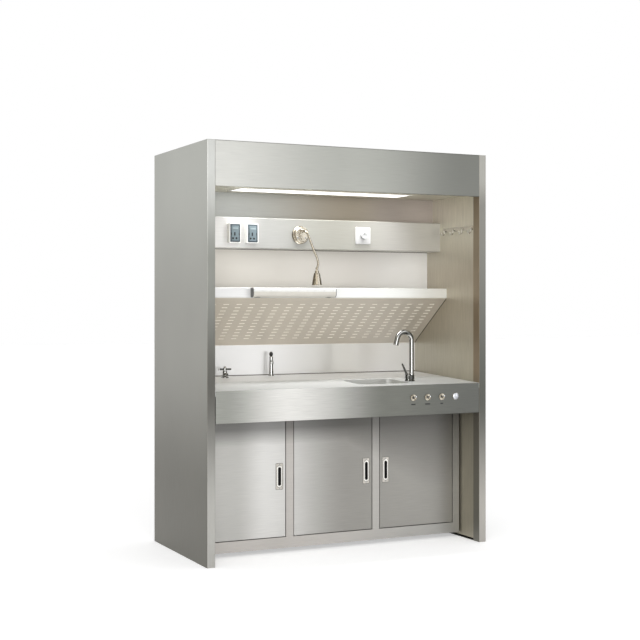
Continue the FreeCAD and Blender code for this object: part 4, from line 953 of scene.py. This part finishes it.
# Black plates at the back of the holes: the contacts, and painted shade deep in the holes.
contacts_and_shade = bmesh.new()
for x in socket_centres:
    rounded_plate(inserts, INSERT_WIDTH, INSERT_HEIGHT, INSERT_DEPTH, 5.0,
                  placed(x, insert_high.y, socket_z, FACING_FRONT), 0.8)
    rounded_plate(panels, 37, 74, 1.4, 3.0,
                  placed(x, insert_low.y + 0.4 * MM, socket_z - 1 * MM, FACING_FRONT), 0.5)
    rounded_plate(contacts_and_shade, 46, 46, 1.0, 2.0,
                  placed(x, insert_low.y + 2.4 * MM, socket_z - 14 * MM, FACING_FRONT))
    rounded_plate(windows, 28, 8.0, 0.9, 1.5,
                  placed(x, insert_low.y - 0.9 * MM, socket_z + 22 * MM, FACING_FRONT), 0.3)
socket_faces = finish_piece(inserts, "socket_faces", socket_plastic, CABINET,
                            ["socket_inserts"])
boolean_cut(socket_faces, socket_holes(), "socket_cutters")
socket_panels = finish_piece(panels, "socket_panels", socket_panel_plastic, CABINET)
boolean_cut(socket_panels, socket_holes(), "panel_cutters")
finish_piece(contacts_and_shade, "socket_contacts_and_shade", black_plastic, CABINET)
finish_piece(windows, "socket_windows", socket_light_plastic, CABINET)
print("Socket faces:", len(socket_centres), "with", len(socket_faces.data.polygons), "faces")

# %% [markdown]
# The dimmer's plate has a soft moulded edge, and its knob a shallow dished face with fine grip
# ribs round its side and one pointer line. The ribs are the lathe's own side faces, with every
# second edge drawn in towards the axis.

# %% Dimmer plate and knob
KNOB_OUTLINE = [(0, 0.3), (17.6, 0.3), (18, 0.8), (17.6, 13), (16.6, 15.4), (15.2, 16),
                (13.5, 15.2), (0, 14.6)]
KNOB_STEPS = 72
GRIP_RADIUS = 17.3
GRIP_DRAW = 0.965

dimmer_low, dimmer_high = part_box("dimmer_plate")
dimmer_centre = (dimmer_low + dimmer_high) / 2
dimmer_axis = joint_place("dimmer_knob_turn")
knob_place = placed(dimmer_axis.x, dimmer_low.y, dimmer_axis.z, FACING_FRONT)
plate = bmesh.new()
rounded_plate(plate, (dimmer_high.x - dimmer_low.x) / MM, (dimmer_high.z - dimmer_low.z) / MM,
              (dimmer_high.y - dimmer_low.y) / MM, 6.0,
              placed(dimmer_centre.x, dimmer_high.y, dimmer_centre.z, FACING_FRONT), 2.4)
lathe(plate, [(19.4, -1), (20.6, -1), (20.6, 0.7), (19.4, 0.7)], knob_place, 64)
finish_piece(plate, "dimmer_cover", dimmer_plastic, CABINET, ["dimmer_plate"])

knob = bmesh.new()
lathe(knob, KNOB_OUTLINE, UNTURNED, KNOB_STEPS)
for vert in knob.verts:
    radius = math.hypot(vert.co.x, vert.co.y)
    step = round(math.atan2(vert.co.y, vert.co.x) / (FULL_TURN / KNOB_STEPS))
    if radius > GRIP_RADIUS * MM and step % 2:
        vert.co.x *= GRIP_DRAW
        vert.co.y *= GRIP_DRAW
bmesh.ops.transform(knob, matrix=knob_place, verts=knob.verts)
finish_piece(knob, "dimmer_grip", dimmer_grip_plastic, "dimmer_knob",
             ["dimmer_knob"], sharp=60)
pointer = bmesh.new()
rounded_plate(pointer, 1.6, 8.0, 0.5, 0.6, knob_place @ placed(0, 9 * MM, 14.7 * MM))
finish_piece(pointer, "dimmer_pointer", dark_plastic, "dimmer_knob")
print("Dimmer knob:", KNOB_STEPS // 2, "grip ribs")

# %% [markdown]
# ## Door pulls
# A recessed pull is a bright plate with a raised ring around its slot and a black cup behind it; the
# cup's black is partly painted shade in the recess. A thin dark outline under the plate and another
# under the ring are painted shade lines at their edges. All four flat pieces are rounded plates with
# the slot cut through by a Boolean, so they keep a crisp inner edge. The cup is the same stadium with
# its front face opened and a wall from solidify.

# %% Pull plates, rings and cups
PULL_PLATE = (36, 125)
PULL_RING = (29.0, 105.0)
PULL_SLOT = (16.4, 90.0)
PLATE_SHADE_MARGIN = 2.6
RING_SHADE_MARGIN = 2.2
CUP_MARGIN = -0.1
CUP_DEPTH = 13.0
PULL_SCREW_REACH = 57 * MM


def stadium(mesh, size, thickness, place, rim=0.0, margin=0.0):
    width, height = size[0] + margin, size[1] + margin
    rounded_plate(mesh, width, height, thickness, width / 2 - 0.2, place, rim)


def slotted_piece(mesh, name, material, body, place, replaced=()):
    """Finishes a flat piece of a pull and cuts the pull's slot through it."""
    piece = finish_piece(mesh, name, material, body, replaced)
    cutter = bmesh.new()
    stadium(cutter, PULL_SLOT, 12, place @ placed(0, 0, -6 * MM))
    boolean_cut(piece, cutter, "slot")


def pull_cup(mesh, place):
    stadium(mesh, PULL_SLOT, CUP_DEPTH, UNTURNED, margin=CUP_MARGIN)
    front = [face for face in mesh.faces if face.calc_center_median().z > (CUP_DEPTH - 0.3) * MM]
    bmesh.ops.delete(mesh, geom=front, context="FACES")
    bmesh.ops.recalc_face_normals(mesh, faces=mesh.faces)
    bmesh.ops.solidify(mesh, geom=mesh.faces[:], thickness=0.6 * MM)
    bmesh.ops.transform(mesh, matrix=place @ placed(0, 0, (0.4 - CUP_DEPTH) * MM), verts=mesh.verts)


DOOR_SIDES = ("left", "middle", "right")
# Painted shade: the dark outlines under the plate and the ring stand for shade lines at their edges,
# and the cup's black is partly the shade in the recess.
for side in DOOR_SIDES:
    body = side + "_door"
    low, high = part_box(side + "_door_pull")
    pull_place = placed((low.x + high.x) / 2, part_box(body)[0].y, (low.z + high.z) / 2, FACING_FRONT)
    plate_shade_line = bmesh.new()
    rounded_plate(plate_shade_line, PULL_PLATE[0] + PLATE_SHADE_MARGIN, PULL_PLATE[1] + PLATE_SHADE_MARGIN, 0.4, 3.6,
                  pull_place)
    slotted_piece(plate_shade_line, side + "_pull_plate_shade_line", dark_plastic, body, pull_place)
    plate = bmesh.new()
    rounded_plate(plate, *PULL_PLATE, 1.5, 3.0, pull_place, 0.9)
    slotted_piece(plate, side + "_pull_plate", pull_plate_metal, body, pull_place,
                  [side + "_door_pull"])
    ring_shade_line = bmesh.new()
    stadium(ring_shade_line, PULL_RING, 0.3, pull_place @ placed(0, 0, 1.4 * MM), margin=RING_SHADE_MARGIN)
    slotted_piece(ring_shade_line, side + "_pull_ring_shade_line", dark_plastic, body, pull_place)
    ring = bmesh.new()
    stadium(ring, PULL_RING, 1.5, pull_place @ placed(0, 0, 1.2 * MM), 1.0)
    slotted_piece(ring, side + "_pull_ring", pull_metal, body, pull_place)
    cup = bmesh.new()
    pull_cup(cup, pull_place)
    finish_piece(cup, side + "_pull_cup", black_plastic, body)
    screws = bmesh.new()
    for end in (-1, 1):
        slotted_screw(screws, pull_place @ placed(0, end * PULL_SCREW_REACH, 1.5 * MM), 2.4, 0.7)
    finish_piece(screws, side + "_pull_screws", zinc, body)
print("Pulls:", len(DOOR_SIDES))

# %% [markdown]
# ## Intake filter
# Behind the slots of the sloping intake lies a pale filter mat. It is what makes the slots look
# bright, so it is a real thin slab, laid right behind the sheet and along its slope, and it glows a
# little, which is painted light.

# %% Filter mat
MAT_THICKNESS = 4.0
MAT_SIDE_MARGIN = 30
MAT_END_MARGIN = 60
intake_low, intake_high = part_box("intake_panel")
shelf_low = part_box("shelf")[0]
SLOPE_TOP = Vector((0, shelf_low.y, shelf_low.z))
SLOPE_FOOT = Vector((0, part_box("backsplash")[1].y, intake_low.z + 12 * MM))
slope = SLOPE_FOOT - SLOPE_TOP
mat = bmesh.new()
rounded_plate(mat, (intake_high.x - intake_low.x) / MM - MAT_SIDE_MARGIN,
              slope.length / MM - MAT_END_MARGIN, MAT_THICKNESS, 4.0, UNTURNED)
tilt = math.atan2(slope.z, slope.y)
normal = Vector((0, -slope.z, slope.y)).normalized()
middle = (SLOPE_TOP + SLOPE_FOOT) / 2 + normal * 2 * MM
bmesh.ops.transform(mat, matrix=placed(0, middle.y, middle.z, Matrix.Rotation(tilt, 4, "X")),
                    verts=mat.verts)
# The glow is painted light that brightens the slots as if lit from behind.
filter_fleece = moulded_plastic("filter_fleece", (246, 242, 232), roughness=0.8, glow=0.17)
finish_piece(mat, "filter_mat", filter_fleece, CABINET)
print("Filter mat tilted by", round(math.degrees(tilt)), "degrees")

# %% [markdown]
# ## Faucet lever
# The mixer is worked by a slim stick on a small turned hub. The stick is a cone with a rounded
# end, leaning to the left, and it turns with the hub about the hub's upright axis.

# %% Mixer lever
LEVER_LEAN = math.radians(26)
HUB_OUTLINE = [(0, -11.5), (3.0, -11.5), (3.0, 0.4), (7.6, 0.4), (8.0, 0.9), (8.0, 5.0), (6.8, 7.2),
               (4.4, 8.6), (0, 9.0)]
STICK_OUTLINE = [(0, 0), (5.6, 0), (5.2, 20), (4.6, 50), (4.4, 56), (3.6, 59), (2.0, 61), (0, 61.6)]
lever_root = joint_place("faucet_lever_turn")
lean = Matrix.Rotation(-LEVER_LEAN, 4, "Y")
lever = bmesh.new()
lathe(lever, HUB_OUTLINE, placed(*lever_root))
lathe(lever, STICK_OUTLINE, placed(lever_root.x, lever_root.y, lever_root.z + 4 * MM, lean))
finish_piece(lever, "mixer_lever", shaded_chrome, "faucet_lever", ["faucet_lever"],
             sharp=50)
print("Mixer lever leans", round(math.degrees(LEVER_LEAN)), "degrees")

# %% [markdown]
# ## Sealed seams
# The sheets inside a wet bench are sealed where they meet, with a thin dark bead in each corner.
# A bead is a slim round bar from corner to corner, made by extruding one small circle.

# %% Seam beads
BEAD_RADIUS = 2.6
BEAD_SIDES = 12


def bead(mesh, start, end):
    run = Vector(end) - Vector(start)
    turn = run.to_track_quat("Z", "Y").to_matrix().to_4x4()
    part = bmesh.new()
    circle = bmesh.ops.create_circle(part, segments=BEAD_SIDES, radius=BEAD_RADIUS * MM,
                                     cap_ends=True)["verts"]
    caps = list({face for vert in circle for face in vert.link_faces})
    grown = bmesh.ops.extrude_face_region(part, geom=caps)
    top = [item for item in grown["geom"] if isinstance(item, bmesh.types.BMVert)]
    bmesh.ops.translate(part, vec=(0, 0, run.length), verts=top)
    bmesh.ops.recalc_face_normals(part, faces=part.faces)
    append(mesh, part, placed(*start, turn))


lining_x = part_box("right_inner_liner")[0].x
splash_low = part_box("backsplash")[0]
service_low, service_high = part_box("service_box")
wall_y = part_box("lower_rear_wall")[0].y
upper_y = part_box("upper_rear_wall")[0].y
seams = [((x, SLOPE_TOP.y + 4 * MM, SLOPE_TOP.z - 3 * MM),
          (x, SLOPE_FOOT.y - 4 * MM, SLOPE_FOOT.z + 4 * MM)) for x in (-lining_x, lining_x)]
level_seams = [(wall_y, service_low.z), (upper_y, service_high.z),
               (splash_low.y, splash_low.z + 1 * MM)]
seams += [((-lining_x, y, z), (lining_x, y, z)) for y, z in level_seams]
beads = bmesh.new()
for start, end in seams:
    bead(beads, start, end)
seam_sealant = moulded_plastic("seam_sealant", (64, 58, 48), roughness=0.5)
finish_piece(beads, "seam_beads", seam_sealant, CABINET)
print("Seam beads:", len(seams))

# %% [markdown]
# ## Controls on the apron
# Each switch sits in a turned collar with a dark dish around its lever, and the push button in a
# thin ring. They are lathe pieces that keep the barrel and the nut behind the sheet.

# %% Control collars
COLLAR_OUTLINE = [(6, -1.5), (6, 0), (16.6, 0), (16.8, 1.2), (16.2, 3.2), (15.2, 4.0), (14.2, 4.0),
                  (12.6, 2.2), (11.2, 1.6), (9.8, 2.2), (9.2, 3.6), (8.2, 3.8), (6.2, 2.4),
                  (4.9, 1.0), (4.4, -14), (12, -14), (12, -1.5)]
RING_OUTLINE = [(17.6, 0), (18.4, 0), (18.4, 1.0), (18.0, 1.8), (17.4, 2.1), (16.8, 1.8),
                (16.8, -14), (5.15, -14), (5.15, -17), (20.6, -17), (20.6, -1.5), (17.6, -1.5)]
COLLAR_STEPS = 64

apron_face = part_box("apron_panel")[0].y
switch_pivots = [joint_place("switch_lever_%d_flip" % number) for number in (1, 2, 3)]
button_low, button_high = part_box("push_button")
button_axis = (button_low + button_high) / 2
collars = bmesh.new()
for pivot in switch_pivots:
    lathe(collars, COLLAR_OUTLINE, placed(pivot.x, apron_face, pivot.z, FACING_FRONT), COLLAR_STEPS)
lathe(collars, RING_OUTLINE, placed(button_axis.x, apron_face, button_axis.z, FACING_FRONT),
      COLLAR_STEPS)
finish_piece(collars, "control_collars", nickel, CABINET, ["control_bezels"], sharp=50)
print("Control collars:", len(switch_pivots), "and a ring")

# %% [markdown]
# Under each switch sits a plain dark mark, a thin printed lozenge with no lettering.

# %% Switch marks
MARK_WIDTHS = (24.0, 29.0, 16.0)
MARK_DROP = 33 * MM
marks = bmesh.new()
for pivot, mark_width in zip(switch_pivots, MARK_WIDTHS):
    rounded_plate(marks, mark_width, 6.0, 0.3, 2.0,
                  placed(pivot.x, apron_face, pivot.z - MARK_DROP, FACING_FRONT))
finish_piece(marks, "switch_marks", black_plastic, CABINET)
print("Switch marks:", len(MARK_WIDTHS))

# %% [markdown]
# ## Finish
# The picture uses the plain Standard view, so a colour shows as it is written. The last lines keep
# both boxes, of the CAD model and of the dressed one, and print the second.

# %% View and box
bpy.context.scene.view_settings.view_transform = "Standard"
low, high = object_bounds()
print("Visual box", [round(v, 4) for v in (*low, *high)])
